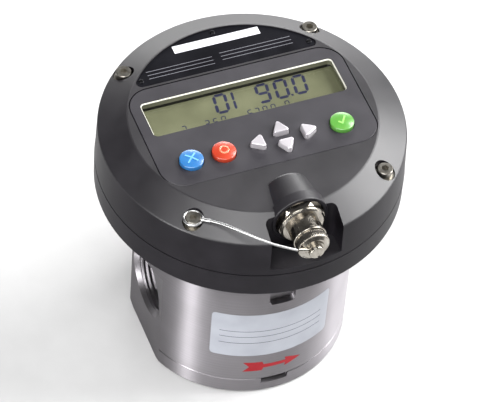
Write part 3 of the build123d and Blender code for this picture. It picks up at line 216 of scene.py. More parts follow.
def turned_metal(name, dark, light, roughness, anisotropy, feed):
    """Bare metal with rings round the Z axis, whose shine is stretched across the rings."""
    made, tree, shader = start(
        name, Metallic=1.0, Anisotropic=anisotropy, Anisotropic_Rotation=0.25
    )
    place = add(tree, "ShaderNodeTexCoord").outputs["Object"]
    rings = ring_noise(tree, place, feed)
    spots = {"Vector": place, "Scale": 1 / METAL_CLOUDS, "Detail": 2.0}
    clouds = add(tree, "ShaderNodeTexNoise", spots).outputs["Fac"]
    terms = {0: rings, 1: clouds, 2: CLOUD_SHARE}
    tone = add(tree, "ShaderNodeMath", terms, operation="MULTIPLY_ADD").outputs["Value"]
    colour = {"Color": shader.inputs["Base Color"]}
    add(tree, "ShaderNodeValToRGB", {"Fac": tone}, colour, ((0.25, dark), (0.75, light)))
    dull = {"Value": rings, "To Min": roughness - 0.05, "To Max": roughness + 0.07}
    add(tree, "ShaderNodeMapRange", dull, {"Result": shader.inputs["Roughness"]})
    grooves = {"Height": rings, "Strength": 0.06, "Distance": 0.03 * MM}
    add(tree, "ShaderNodeBump", grooves, {"Normal": shader.inputs["Normal"]})
    across = {"Tangent": shader.inputs["Tangent"]}
    add(tree, "ShaderNodeTangent", None, across, direction_type="RADIAL", axis="Z")
    return made


turned_aluminium = turned_metal("turned_aluminium", "#7c797c", "#949195", 0.43, 0.93, TURNING_FEED)
print(turned_aluminium.name)

# %% [markdown]
# **Glass-filled nylon, black, moulded in a spark-eroded tool.** The mould's grain scatters the
# light, so the surface is matt but not dead: it goes light grey where a lamp stands opposite.
# The short glass fibres leave faint clouds. The grain is about 0.1 mm on the real part, and is
# drawn at 0.5 mm. The display panel is the same plastic in a finer grain, a touch more purple.
# The upright walls were textured more deeply in the mould, so they shine less than the faces that
# look up. Inside the window's opening, some of the display's green is painted into the panel's
# colour. This is painted light, standing in for the light that comes back from the display.

# %% Moulded black plastics
GRAIN, PANEL_GRAIN = 0.5 * MM, 0.35 * MM
CLOUDS = 14 * MM
OPENING_LOW = np.array([-46.3, 0.9, 129.5]) * MM
OPENING_HIGH = np.array([46.3, 22.1, 136.2]) * MM


def moulded(name, dark, light, roughness, grain, relief, specular=0.5):
    """Moulded, printed or painted surface: grain of a size and a relief, and faint clouds in
    its colour and roughness."""
    made, tree, shader = start(name, IOR=1.53, Specular_IOR_Level=specular)
    place = add(tree, "ShaderNodeTexCoord").outputs["Object"]
    spots = {"Vector": place, "Scale": 1 / CLOUDS, "Detail": 4.0}
    clouds = add(tree, "ShaderNodeTexNoise", spots).outputs["Fac"]
    colour = {"Color": shader.inputs["Base Color"]}
    add(tree, "ShaderNodeValToRGB", {"Fac": clouds}, colour, ((0.3, dark), (0.7, light)))
    dull = {"Value": clouds, "To Min": roughness - 0.04, "To Max": roughness + 0.06}
    add(tree, "ShaderNodeMapRange", dull, {"Result": shader.inputs["Roughness"]})
    spots = {"Vector": place, "Scale": 1 / grain, "Detail": 3.0}
    grains = add(tree, "ShaderNodeTexNoise", spots).outputs["Fac"]
    pits = {"Height": grains, "Strength": relief, "Distance": 0.05 * MM}
    add(tree, "ShaderNodeBump", pits, {"Normal": shader.inputs["Normal"]})
    return made


def duller_walls(material, wall, top):
    """Give upright walls a weaker shine than faces that look up, by the z of their normal."""
    tree = material.node_tree
    normal = add(tree, "ShaderNodeNewGeometry").outputs["Normal"]
    upward = add(tree, "ShaderNodeSeparateXYZ", {"Vector": normal}).outputs["Z"]
    slope = {"Value": upward, "From Min": 0.15, "From Max": 0.55}
    share = add(tree, "ShaderNodeMapRange", slope).outputs["Result"]
    shine = tree.nodes["Principled BSDF"].inputs["Specular IOR Level"]
    between = {"Value": share, "To Min": wall, "To Max": top}
    add(tree, "ShaderNodeMapRange", between, {"Result": shine})


def tint_inside(material, low, high, colour, share):
    """Blend a share of a colour into a material, within the box between two corners."""
    tree = material.node_tree
    place = add(tree, "ShaderNodeTexCoord").outputs["Object"]
    split = add(tree, "ShaderNodeSeparateXYZ", {"Vector": place}).outputs
    inside = share
    for axis, bottom, top in zip("XYZ", low, high):
        for limit, test in ((bottom, "GREATER_THAN"), (top, "LESS_THAN")):
            passed = add(tree, "ShaderNodeMath", {0: split[axis], 1: limit}, operation=test)
            factors = {0: inside, 1: passed.outputs["Value"]}
            inside = add(tree, "ShaderNodeMath", factors, operation="MULTIPLY").outputs["Value"]
    base = tree.nodes["Principled BSDF"].inputs["Base Color"]
    # A Mix node of colours has them at inputs 6 and 7, and its result at output 2.
    colours = {"Factor": inside, 6: base.links[0].from_socket, 7: linear(colour)}
    add(tree, "ShaderNodeMix", colours, {2: base}, data_type="RGBA")


black_nylon = moulded("black_glass_filled_nylon", "#151317", "#1e1c20", 0.42, GRAIN, 0.35)
duller_walls(black_nylon, 0.08, 0.58)
panel_plastic = moulded("panel_plastic", "#211f24", "#2a282d", 0.44, PANEL_GRAIN, 0.25, 0.46)
# Painted light: the walls of the window's opening get a green tint for the glow that the display
# throws back.
tint_inside(panel_plastic, OPENING_LOW, OPENING_HIGH, "#6f705a", 0.6)
insulator = moulded("connector_insulator", "#1a1a1c", "#202023", 0.5, GRAIN, 0.1)
battery_tray = moulded("battery_tray_plastic", "#1d1d1f", "#252527", 0.5, GRAIN, 0.2)
print(black_nylon.name, panel_plastic.name, insulator.name, battery_tray.name)

# %% [markdown]
# **Laminate name plate.** Engraving stock: a gloss black sheet that mirrors softly, with a white
# field for a stamp. Its grain is only a slight waviness of the lacquer. The prints and the foils
# on the body are more matt, so they keep their colour where a lamp stands opposite.

# %% Name plate and prints
name_plate_black = moulded("name_plate_laminate", "#0a0a0e", "#101015", 0.2, 3 * MM, 0.03)
print_white = moulded("screen_print_white", "#c9c9cf", "#d3d3d8", 0.4, GRAIN, 0.05)
print_grey = moulded("screen_print_grey", "#626268", "#6e6e74", 0.5, GRAIN, 0.05, 0.2)
label_foil = moulded("label_foil", "#9699a1", "#a2a5ad", 0.4, 2 * MM, 0.04, 0.25)
print_dark = moulded("label_print_dark", "#3a3b42", "#44454c", 0.5, GRAIN, 0.05, 0.2)
arrow_red = moulded("arrow_film_red", "#8a0815", "#960d1b", 0.5, 2 * MM, 0.04, 0.2)
print(name_plate_black.name, label_foil.name, arrow_red.name)

# %% [markdown]
# **Display.** The window is clear acrylic. It lets light through and mirrors a little, so it is
# a Transparent shader with a Glossy one laid over it by the Fresnel share, which stays clear in
# every renderer. Light that is already inside the block leaves it unhindered. The wide waves of
# a polished sheet make the mirror a little uneven. Below it lies the liquid crystal: a grey-green
# reflector behind glass, with segments that are dark blue when on.

# %% Display materials
WINDOW_WAVES = 30 * MM


def clear_acrylic():
    """Clear block: see-through, with a mirror of the Fresnel share on faces met from outside."""
    made, tree, shader = start("clear_acrylic")
    tree.nodes.remove(shader)
    clear = add(tree, "ShaderNodeBsdfTransparent", {"Color": linear("#f4f5f0")})
    mirror = add(tree, "ShaderNodeBsdfAnisotropic", {"Color": linear("#ffffff")})
    place = add(tree, "ShaderNodeTexCoord").outputs["Object"]
    spots = {"Vector": place, "Scale": 1 / WINDOW_WAVES, "Detail": 2.0}
    waves = add(tree, "ShaderNodeTexNoise", spots).outputs["Fac"]
    dull = {"Value": waves, "To Min": 0.03, "To Max": 0.07}
    add(tree, "ShaderNodeMapRange", dull, {"Result": mirror.inputs["Roughness"]})
    fresnel = add(tree, "ShaderNodeFresnel", {"IOR": 1.49}).outputs["Fac"]
    inside = add(tree, "ShaderNodeNewGeometry").outputs["Backfacing"]
    outside = add(tree, "ShaderNodeMath", {0: 1.0, 1: inside}, operation="SUBTRACT")
    factors = {0: fresnel, 1: outside.outputs["Value"]}
    share = add(tree, "ShaderNodeMath", factors, operation="MULTIPLY").outputs["Value"]
    shaders = {0: share, 1: clear.outputs["BSDF"], 2: mirror.outputs["BSDF"]}
    surface = tree.nodes["Material Output"].inputs["Surface"]
    add(tree, "ShaderNodeMixShader", shaders, {"Shader": surface})
    return made


acrylic = clear_acrylic()
liquid_crystal = moulded("liquid_crystal_reflector", "#6e6e5d", "#7d7d6b", 0.35, 0.6 * MM, 0.04)
segment_ink = moulded("segment_blue", "#23244a", "#2c2d55", 0.45, GRAIN, 0.05)
print(acrylic.name, liquid_crystal.name, segment_ink.name)

# %% [markdown]
# **Keys.** Clear-lacquered ABS in signal colours, and silver paint on the arrows. The lacquer is
# a thin smooth coat, so a sharp highlight lies over the softer shine of the plastic. Light that
# enters the coloured caps comes out again a little further on, which a small subsurface share
# copies.

# %% Key materials


def lacquered(name, dark, light):
    """Coloured plastic under a thin clear coat, with a little light scattered inside it."""
    made = moulded(name, dark, light, 0.3, 1.2 * MM, 0.05)
    shader = made.node_tree.nodes["Principled BSDF"]
    shader.inputs["Coat Weight"].default_value = 0.6
    shader.inputs["Coat Roughness"].default_value = 0.12
    shader.inputs["Subsurface Weight"].default_value = 0.15
    shader.inputs["Subsurface Scale"].default_value = 1.5 * MM
    return made


key_blue = lacquered("key_blue", "#24619a", "#3270a8")
key_red = lacquered("key_red", "#962713", "#ad3a20")
key_green = lacquered("key_green", "#4a8530", "#5b9642")
mark_blue = lacquered("key_mark_blue", "#5f9fd4", "#73aedd")
mark_red = lacquered("key_mark_red", "#d9694a", "#e07c5c")
mark_green = lacquered("key_mark_green", "#86c460", "#98d073")


def silver_paint():
    """Aluminium flakes in clear paint: a metal look with no sharp mirror."""
    made = moulded("key_silver_paint", "#bcb8bd", "#c9c5c9", 0.34, 0.25 * MM, 0.12)
    shader = made.node_tree.nodes["Principled BSDF"]
    shader.inputs["Metallic"].default_value = 0.55
    return made


key_silver = silver_paint()
print(key_blue.name, key_red.name, key_green.name, key_silver.name)

# %% [markdown]
# **Plated and bare metals.** Nickel plate on turned brass is bright and slightly warm, with soft
# smears where it was handled. Stainless screws are greyer and rougher. Both are metals, so their
# colour is the colour of what they mirror.

# %% Metals
SCRATCHES = 0.3 * MM


def metal(name, dark, light, roughness, smear):
    """Bare or plated metal, with smears of a size in its colour and roughness."""
    made, tree, shader = start(name, Metallic=1.0)
    place = add(tree, "ShaderNodeTexCoord").outputs["Object"]
    spots = {"Vector": place, "Scale": 1 / smear, "Detail": 5.0}
    smears = add(tree, "ShaderNodeTexNoise", spots).outputs["Fac"]
    colour = {"Color": shader.inputs["Base Color"]}
    add(tree, "ShaderNodeValToRGB", {"Fac": smears}, colour, ((0.3, dark), (0.7, light)))
    dull = {"Value": smears, "To Min": roughness - 0.06, "To Max": roughness + 0.1}
    add(tree, "ShaderNodeMapRange", dull, {"Result": shader.inputs["Roughness"]})
    spots = {"Vector": place, "Scale": 1 / SCRATCHES, "Detail": 2.0}
    scratches = add(tree, "ShaderNodeTexNoise", spots).outputs["Fac"]
    marks = {"Height": scratches, "Strength": 0.08, "Distance": 0.02 * MM}
    add(tree, "ShaderNodeBump", marks, {"Normal": shader.inputs["Normal"]})
    return made


bright_nickel = metal("bright_nickel_plate", "#8d8880", "#aaa59c", 0.22, 3 * MM)
stainless = metal("stainless_steel", "#8a867e", "#a6a29a", 0.3, 2 * MM)
blackened = metal("blackened_steel", "#1f1f21", "#2b2b2d", 0.32, 1 * MM)
rope_steel = metal("steel_wire_rope", "#a2a2a2", "#c0c0c0", 0.3, 1 * MM)
brass = metal("machined_brass", "#b99a5c", "#cdb072", 0.3, 2 * MM)
magnet_steel = metal("magnet_nickel", "#8f8f90", "#a0a0a1", 0.25, 2 * MM)
spring_plate = metal("contact_spring_tin", "#b9b9ba", "#cfcfd0", 0.3, 2 * MM)
print(bright_nickel.name, stainless.name, rope_steel.name)

# %% [markdown]
# **Inside.** What the covers hide still gets its own finish, because a reader may take the meter
# apart: rubber seals, silicone under the keys, filled carbon bushes, green board laminate, and
# the shrink sleeve of the cells.

# %% Hidden materials
rubber = moulded("nitrile_rubber", "#141415", "#1b1b1c", 0.65, 0.4 * MM, 0.2)
silicone = moulded("grey_silicone", "#6a6a6c", "#77777a", 0.55, 0.4 * MM, 0.1)
rotor_plastic = moulded("rotor_engineering_plastic", "#3a3631", "#47423c", 0.4, 0.4 * MM, 0.15)
bush_carbon = moulded("bush_carbon", "#202022", "#2c2c2f", 0.45, 0.2 * MM, 0.2)
board_laminate = moulded("board_laminate", "#12532f", "#1a6a3e", 0.35, 0.5 * MM, 0.1)
cell_sleeve = moulded("cell_shrink_sleeve", "#1f4f8c", "#29609f", 0.3, 4 * MM, 0.08)
print(rubber.name, rotor_plastic.name, board_laminate.name)

# %% [markdown]
# ## Dress the CAD pieces
# The CAD pieces keep their shape and place. Each takes one material, so a table of names is
# enough, and it shows at a glance what the meter is made of.

# %% Finishes of the CAD pieces
FINISHES = [
    (turned_aluminium, ["meter_body", "bottom_cover"]),
    (black_nylon, ["head_base", "head_housing"]),
    (panel_plastic, ["display_panel"]),
    (name_plate_black, ["name_plate"]),
    (acrylic, ["display_window"]),
    (liquid_crystal, ["display_glass"]),
    (key_blue, ["blue_key"]),
    (key_red, ["red_key"]),
    (key_green, ["green_key"]),
    (key_silver, ["left_key", "right_key", "up_key", "down_key"]),
    (bright_nickel, ["connector_shell", "lock_washer", "connector_nut"]),
    (bright_nickel, ["dust_cap", "cap_screw", "ring_terminal"]),
    (stainless, ["cover_screws", "pickup_screws", "base_screws", "head_screws", "board_screws"]),
    (stainless, ["head_washers", "rotor_shaft_a", "rotor_shaft_b"]),
    (rope_steel, ["tether_noose", "tether_wire"]),
    (blackened, ["name_plate_pins"]),
    (rubber, ["chamber_seal", "body_seal", "head_gasket", "connector_seal", "cap_seal"]),
    (silicone, ["key_mat", "contact_strips"]),
    (rotor_plastic, ["rotor_a", "rotor_b"]),
    (bush_carbon, ["rotor_bushes_a", "rotor_bushes_b"]),
    (magnet_steel, ["rotor_magnets"]),
    (brass, ["head_inserts", "connector_pins"]),
    (board_laminate, ["circuit_board"]),
    (insulator, ["connector_insert", "pickup_sensor"]),
    (battery_tray, ["battery_holder"]),
    (cell_sleeve, ["battery_cells"]),
    (spring_plate, ["battery_contacts"]),
]
dressed = {name: material for material, names in FINISHES for name in names}
for name, material in dressed.items():
    mesh = nodes[name].data
    mesh.materials.clear()
    mesh.materials.append(material)
print("dressed", len(dressed), "of", len(nodes), "left", sorted(set(nodes) - set(dressed)))

# %% [markdown]
# ## The tether of the dust cap
# A thin steel wire rope keeps the cap from getting lost. It is looped round one head screw, closed
# by a ferrule, and crimped into a ring terminal under the screw of the cap. The rope is springy,
# so it stands off the head in one long bow. Its centre line is a smooth NURBS curve with a few
# listed control points.

# %% Route of the tether
AXIS_Z = 130.6 * MM
SCREW_PLACE = 45.0 * MM
NOOSE_CENTRE = np.array([-SCREW_PLACE, -SCREW_PLACE, 133.85 * MM])
FERRULE_TURN, FERRULE_RISE, FERRULE_REACH = math.radians(-42), math.radians(14), 8.3 * MM
TERMINAL_Y, TERMINAL_TILT, CRIMP_END = -75.5 * MM, math.radians(18), 8.75 * MM
TETHER_RADIUS = 0.55 * MM
TETHER_POINTS = [
    (-35.2, -54.4, 137.2),
    (-31.4, -59.7, 138.4),
    (-26.8, -65.3, 138.7),
    (-21.6, -69.9, 138.0),
    (-16.2, -73.2, 136.4),
]
ferrule_way = np.array(
    [
        math.cos(FERRULE_TURN) * math.cos(FERRULE_RISE),
        math.sin(FERRULE_TURN) * math.cos(FERRULE_RISE),
        math.sin(FERRULE_RISE),
    ]
)
crimp_way = np.array([-math.cos(TERMINAL_TILT), 0, math.sin(TERMINAL_TILT)])
tether_start = NOOSE_CENTRE + ferrule_way * FERRULE_REACH
tether_end = np.array([0, TERMINAL_Y, AXIS_Z]) + crimp_way * CRIMP_END
route = np.vstack([tether_start, np.array(TETHER_POINTS) * MM, tether_end])


def smooth_line(name, points, resolution=24):
    """Points along the NURBS curve of order 3 that has the given control points."""
    curve = bpy.data.curves.new(name, "CURVE")
    curve.dimensions = "3D"
    spline = curve.splines.new("NURBS")
    spline.points.add(len(points) - 1)
    spline.points.foreach_set("co", np.column_stack([points, np.ones(len(points))]).ravel())
    spline.order_u = 3
    spline.use_endpoint_u = True
    spline.resolution_u = resolution
    holder = bpy.data.objects.new(name, curve)
    line = bpy.data.meshes.new_from_object(holder)
    found = np.zeros(len(line.vertices) * 3)
    line.vertices.foreach_get("co", found)
    bpy.data.objects.remove(holder)
    bpy.data.curves.remove(curve)
    bpy.data.meshes.remove(line)
    return found.reshape(-1, 3)


rope_line = smooth_line("tether_line", route)

# %% [markdown]
# The rope itself is a surface carried along that line: a circle whose radius rises and falls six
# times round it, for six strands, and turns as it goes. It runs from the ferrule of the noose to
# the crimp of the ring terminal.

# %% The rope as a surface
STRANDS = 6
LAY_LENGTH = 7.0 * MM
ROPE_STEPS = 160


def twisted_rope(line, radius, strands, lay, around=48):
    """Circle carried along a line. Its radius is R (0.9 + 0.1 cos(n (angle + 2 pi s / lay))),
    with s the length so far. The circle stands square to the line, turned from the Z axis."""
    way = np.gradient(line, axis=0)
    way /= np.linalg.norm(way, axis=1, keepdims=True)
    up = np.array([0, 0, 1.0]) - way * way[:, 2:3]
    up /= np.linalg.norm(up, axis=1, keepdims=True)
    side = np.cross(way, up)
    run = np.concatenate([[0], np.cumsum(np.linalg.norm(np.diff(line, axis=0), axis=1))])[:, None]
    angle = np.linspace(0, 2 * np.pi, around, endpoint=False)[None, :]
    reach = radius * (0.9 + 0.1 * np.cos(strands * (angle + 2 * np.pi * run / lay)))
    wall = line[:, None] + reach[..., None] * (
        np.cos(angle)[..., None] * side[:, None] + np.sin(angle)[..., None] * up[:, None]
    )
    ends = [np.repeat(line[i][None, None], around, axis=1) for i in (0, -1)]
    return np.concatenate([ends[0], wall, ends[1]])


line_steps = np.linspace(0, len(rope_line) - 1, ROPE_STEPS)
fine_line = np.column_stack(
    [np.interp(line_steps, np.arange(len(rope_line)), column) for column in rope_line.T]
)
rope_grid = twisted_rope(fine_line, TETHER_RADIUS, STRANDS, LAY_LENGTH)
rope_mesh = mesh_of("tether_rope", [(rope_grid, False, True)])
rope_mesh.materials.append(rope_steel)
rope_mesh.shade_smooth()
tether_rope = bpy.data.objects.new("tether_rope", rope_mesh)
bpy.context.scene.collection.objects.link(tether_rope)
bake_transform(tether_rope)
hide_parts("tether_wire")
print("tether_rope", len(rope_mesh.polygons), "faces")

# %% [markdown]
# ## Thin pieces: prints, segments and films
# A print, a film or a raised mark is a thin plate on a surface. All of them come from one
# function. It takes the plate's lower and upper edge as arrays along its length, and a function
# that lays flat coordinates (along, across, lift) on the surface, which may be a plane, the
# round body or the crown of a key. The grid goes over the top face and back underneath, and its
# two ends are drawn together to a point, so that every plate is closed.

# %% The plate function


def plate(lay, along, low, high, thickness, across=2, base=0.0):
    """Closed thin plate: at each place along it reaches across from low to high, from lift base to
    lift base + thickness."""
    along, low, high = np.broadcast_arrays(along, low, high)
    share = np.linspace(0, 1, across)[:, None]
    top = low + (high - low) * share
    over = np.vstack([top, top[::-1]])
    lift = np.vstack([np.full_like(top, base + thickness), np.full_like(top, base)])
    run = np.broadcast_to(along, over.shape)
    middle = (low + high) / 2
    ends = []
    for k in (0, -1):
        point = (along[k], middle[k], base + thickness / 2)
        ends.append([np.full((2 * across, 1), value) for value in point])
    run, over, lift = (
        np.hstack([ends[0][i], values, ends[1][i]]) for i, values in enumerate((run, over, lift))
    )
    return lay(run, over, lift), True, False


def bar(lay, start, end, width, thickness, base=0.0, steps=2):
    """Straight bar of a width between two flat points, laid on a surface."""
    start, end = np.array(start, float), np.array(end, float)
    length = np.linalg.norm(end - start)
    way = (end - start) / length

    def turned(a, b, lift):
        """Lay turned and moved, so that the bar starts at the origin and runs along a."""
        return lay(start[0] + way[0] * a - way[1] * b, start[1] + way[1] * a + way[0] * b, lift)

    half = width / 2
    return plate(turned, np.linspace(0, length, steps), -half, half, thickness, base=base)


def flat_at(height):
    """Lays flat coordinates on the level plane at a height: (a, b, height + lift)."""
    return lambda a, b, lift: np.stack([a, b, height + lift], -1)


# %% [markdown]
# ### Digits
# A seven-segment digit is at most seven bars with pointed ends, leaning a little to the right.
# The display shows one row of tall digits, and a row of small ones that the window's front edge
# half hides. They are plain numbers. The gap, the tip and the half width of a segment are shares
# of its stroke.

# %% Seven-segment digits
GLASS_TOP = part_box("display_glass")[1].z
SEGMENTS = {
    "0": "abcdef",
    "1": "bc",
    "2": "abged",
    "3": "abgcd",
    "4": "fgbc",
    "5": "afgcd",
    "6": "afgecd",
    "7": "abc",
    "8": "abcdefg",
    "9": "abfgcd",
}
DIGIT_THICK = 0.04 * MM
SEGMENT_GAP, SEGMENT_TIP, SEGMENT_HALF = 0.12, 0.42, 0.44
TALL_DIGITS = [("0", -13.2), ("9", 6.9), ("0", 15.7), ("0", 24.6)]
TALL_FOOT, TALL_WIDTH, TALL_HEIGHT, TALL_STROKE = 9.7 * MM, 6.8 * MM, 11.8 * MM, 1.65 * MM
ONE_X, ONE_WIDTH, ONE_STROKE = -9.5 * MM, 6.4 * MM, 1.3 * MM
POINT_X, POINT_LOW, POINT_HIGH, POINT_WIDTH = 23.3 * MM, 10.1 * MM, 11.2 * MM, 1.1 * MM
SMALL_PLACES = (-31.5, -20.6, -16.6, -12.8, -0.2, 3.2, 7.0, 10.9, 17.6)
SMALL_DIGITS = list(zip("735057000", SMALL_PLACES))
SMALL_FOOT, SMALL_WIDTH, SMALL_HEIGHT, SMALL_STROKE = 3.9 * MM, 2.4 * MM, 4.4 * MM, 0.55 * MM


def digit(lay, figure, x, y, width, height, stroke, lean=0.12):
    """Patches of one digit whose lower left corner is at (x, y)."""
    corners = {
        "a": ((0, 2), (1, 2)),
        "b": ((1, 2), (1, 1)),
        "c": ((1, 1), (1, 0)),
        "d": ((0, 0), (1, 0)),
        "e": ((0, 1), (0, 0)),
        "f": ((0, 2), (0, 1)),
        "g": ((0, 1), (1, 1)),
    }
    inner = np.array([width - stroke, (height - stroke) / 2])
    patches = []
    for name in SEGMENTS[figure]:
        ends = np.array(corners[name], float) * inner + stroke / 2
        way = (ends[1] - ends[0]) / np.linalg.norm(ends[1] - ends[0])
        ends += np.outer([SEGMENT_GAP, -SEGMENT_GAP], way) * stroke
        length = np.linalg.norm(ends[1] - ends[0])
        tip = stroke * SEGMENT_TIP
        along = np.array([0, tip, length - tip, length])
        half = np.array([0, stroke, stroke, 0]) * SEGMENT_HALF

        def lean_over(a, b, lift, first=ends[0], way=way):
            """Lay turned along the segment and leaning with the digit."""
            u = first[0] + way[0] * a - way[1] * b
            v = first[1] + way[1] * a + way[0] * b
            return lay(x + u + lean * v, y + v, lift)

        patches.append(plate(lean_over, along, -half, half, DIGIT_THICK))
    return patches


on_glass = flat_at(GLASS_TOP)
tall = []
for figure, x in TALL_DIGITS:
    tall += digit(on_glass, figure, x * MM, TALL_FOOT, TALL_WIDTH, TALL_HEIGHT, TALL_STROKE)
tall += digit(on_glass, "1", ONE_X, TALL_FOOT, ONE_WIDTH, TALL_HEIGHT, ONE_STROKE)
tall.append(bar(on_glass, (POINT_X, POINT_LOW), (POINT_X, POINT_HIGH), POINT_WIDTH, DIGIT_THICK))
piece("display_digits", tall, segment_ink, sharp=20)

small = []
for figure, x in SMALL_DIGITS:
    small += digit(
        on_glass, figure, x * MM, SMALL_FOOT, SMALL_WIDTH, SMALL_HEIGHT, SMALL_STROKE
    )
piece("display_small_digits", small, segment_ink, sharp=20)

# %% [markdown]
# ### The window's edge
# The clear acrylic window shows its polished edge as a fine bright line along the left and front
# of the opening, and as small bright glints at lugs along the back that hold it. Both are painted
# highlights. The line is a slim frame in a pale ivory colour: a bevelled profile of five points
# carried round a rounded rectangle. The lugs take the same pale colour.

# %% Window edge and lugs
PLATEAU_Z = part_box("display_panel")[1].z
WINDOW_HALF_X, WINDOW_HALF_Y = 46.0 * MM, 10.3 * MM
WINDOW_CENTRE_Y, WINDOW_CORNER = 11.5 * MM, 2.2 * MM
LUGS, LUG_FIRST, LUG_PITCH = 6, -31.5 * MM, 13.9 * MM
LUG_HALF, LUG_FRONT, LUG_BACK, LUG_THICK = 0.7 * MM, 0.85 * MM, 0.4 * MM, 0.3 * MM


def rounded_rectangle(half_x, half_y, corner, steps=10):
    """Closed outline: four quarter circles round the corners, counter-clockwise."""
    angle = np.linspace(0, np.pi / 2, steps)
    outline = []
    for k, (sx, sy) in enumerate([(1, 1), (-1, 1), (-1, -1), (1, -1)]):
        turn = angle + k * np.pi / 2
        x = sx * (half_x - corner) + corner * np.cos(turn)
        y = sy * (half_y - corner) + corner * np.sin(turn)
        outline.append(np.column_stack([x, y]))
    return np.concatenate(outline)


def frame_band(half_x, half_y, corner, centre_y, profile):
    """A profile of (inset, height) points carried round a rounded rectangle."""
    rings = []
    for inset, height in profile:
        x, y = rounded_rectangle(half_x - inset, half_y - inset, corner - inset).T
        rings.append(np.column_stack([x, centre_y + y, np.full(len(x), height)]))
    return np.stack(rings), True, True


edge_profile = [
    (0.02 * MM, PLATEAU_Z - 0.9 * MM),
    (0.02 * MM, PLATEAU_Z - 0.34 * MM),
    (0.16 * MM, PLATEAU_Z - 0.34 * MM),
    (0.42 * MM, PLATEAU_Z - 0.6 * MM),
    (0.46 * MM, PLATEAU_Z - 0.9 * MM),
]
edge_band = frame_band(WINDOW_HALF_X, WINDOW_HALF_Y, WINDOW_CORNER, WINDOW_CENTRE_Y, edge_profile)
# Pale ivory colour for the frame and the lugs: a painted highlight in place of the glint on clear
# acrylic.
edge_highlight_paint = moulded("window_edge_painted_highlight", "#cfcec2", "#dcdbd1", 0.2, 6 * MM, 0.02)
piece("window_edge", [edge_band], edge_highlight_paint)

window_back = WINDOW_CENTRE_Y + WINDOW_HALF_Y
lug_lay = flat_at(PLATEAU_Z - 0.5 * MM)
lugs = []
for k in range(LUGS):
    x = LUG_FIRST + k * LUG_PITCH
    along = np.linspace(x - LUG_HALF, x + LUG_HALF, 5)
    lugs.append(plate(lug_lay, along, window_back - LUG_FRONT, window_back - LUG_BACK, LUG_THICK))
piece("window_lugs", lugs, edge_highlight_paint)

# %% [markdown]
# ### Name plate
# The bare name plate has a white field for a stamp, and fine ruled lines on both sides of its
# middle. A picture on the surface could show them, but thin plates stay crisp from close up.

# %% Name plate print
PLATE_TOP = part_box("name_plate")[1].z
PRINT_THICK = 0.03 * MM
FIELD_ENDS, FIELD_LOW, FIELD_HIGH = np.array([-20.2, 21.2]) * MM, 46.0 * MM, 50.4 * MM
RULE_FIRST, RULE_PITCH, RULE_WIDTH = 35.0 * MM, 2.1 * MM, 0.28 * MM
LEFT_RULE, RIGHT_RULE, RIGHT_RISE = (-36.5 * MM, -5.0 * MM), (-1.0 * MM, 33.0 * MM), 1.0 * MM

on_plate = flat_at(PLATE_TOP)
field = plate(on_plate, FIELD_ENDS, FIELD_LOW, FIELD_HIGH, PRINT_THICK)
piece("name_plate_field", [field], print_white)
rules = []
for row in range(3):
    y = RULE_FIRST + row * RULE_PITCH
    for (first, last), height in ((LEFT_RULE, y), (RIGHT_RULE, y + RIGHT_RISE)):
        rules.append(bar(on_plate, (first, height), (last, height), RULE_WIDTH, PRINT_THICK))
piece("name_plate_rules", rules, print_grey)

# %% [markdown]
# ### Label and flow arrow
# The body carries a silver foil label with ruled lines, and a red arrow for the direction of
# flow. A modifier could wrap flat shapes round the body. Here the formula of the lay does it, so
# that every point has its exact place: the flat length becomes an angle.

# %% Label and flow arrow
BODY_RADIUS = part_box("bottom_cover")[1].y
FILM, FILM_GAP = 0.06 * MM, 0.01 * MM


def on_body(a, b, lift):
    """Lays flat coordinates on the round body: the angle is a / R, the height is b."""
    radius = BODY_RADIUS + FILM_GAP + lift
    angle = a / BODY_RADIUS
    return np.stack([radius * np.cos(angle), radius * np.sin(angle), b + 0 * a], -1)


def rounded_ends(first, last, low, high, corner, steps=120):
    """Edges of a rectangle with round corners, as arrays along its length. At a distance d from
    an end, closer than the corner's radius c, the edge dips by c - sqrt(c**2 - (c - d)**2)."""
    along = np.linspace(first, last, steps)
    near = np.minimum(along - first, last - along)
    dip = corner - np.sqrt(np.clip(corner**2 - np.clip(corner - near, 0, corner) ** 2, 0, None))
    return along, low + dip, high - dip


LABEL_FROM, LABEL_TO = np.radians([-127, -60.5]) * BODY_RADIUS
LABEL_LOW, LABEL_HIGH, LABEL_CORNER = 28 * MM, 58 * MM, 2 * MM
LINE_HEIGHTS, LINE_HALF, LINE_THICK = (46.0 * MM, 42.0 * MM, 37.5 * MM), 0.14 * MM, 0.02 * MM
label_edges = rounded_ends(LABEL_FROM, LABEL_TO, LABEL_LOW, LABEL_HIGH, LABEL_CORNER)
label = plate(on_body, *label_edges, FILM, across=12)
piece("body_label", [label], label_foil, sharp=60)
line_along = np.linspace(LABEL_FROM + 4 * MM, LABEL_TO - 5 * MM, 90)
label_lines = [
    plate(on_body, line_along, height - LINE_HALF, height + LINE_HALF, LINE_THICK, base=FILM)
    for height in LINE_HEIGHTS
]
piece("body_label_lines", label_lines, print_dark, sharp=60)

ARROW_FROM, ARROW_Z = math.radians(-108.8) * BODY_RADIUS, 19.5 * MM
# Half the height of the arrow along its length: feathers, shaft, and a head that runs to a point.
ARROW_PLACES = np.array([0, 0.01, 8.9, 9.6, 20.6, 20.61, 28.1]) * MM
ARROW_HALVES = np.array([3.2, 3.25, 3.15, 1.25, 1.05, 3.1, 0.0]) * MM
FEATHER_HALF, FEATHER_LENGTH, FEATHER_SLANT = 3.2 * MM, 9.0 * MM, 0.9
BARB_PLACE, BARB_LENGTH, BARB_SLANT = 20.6 * MM, 1.2 * MM, 0.25


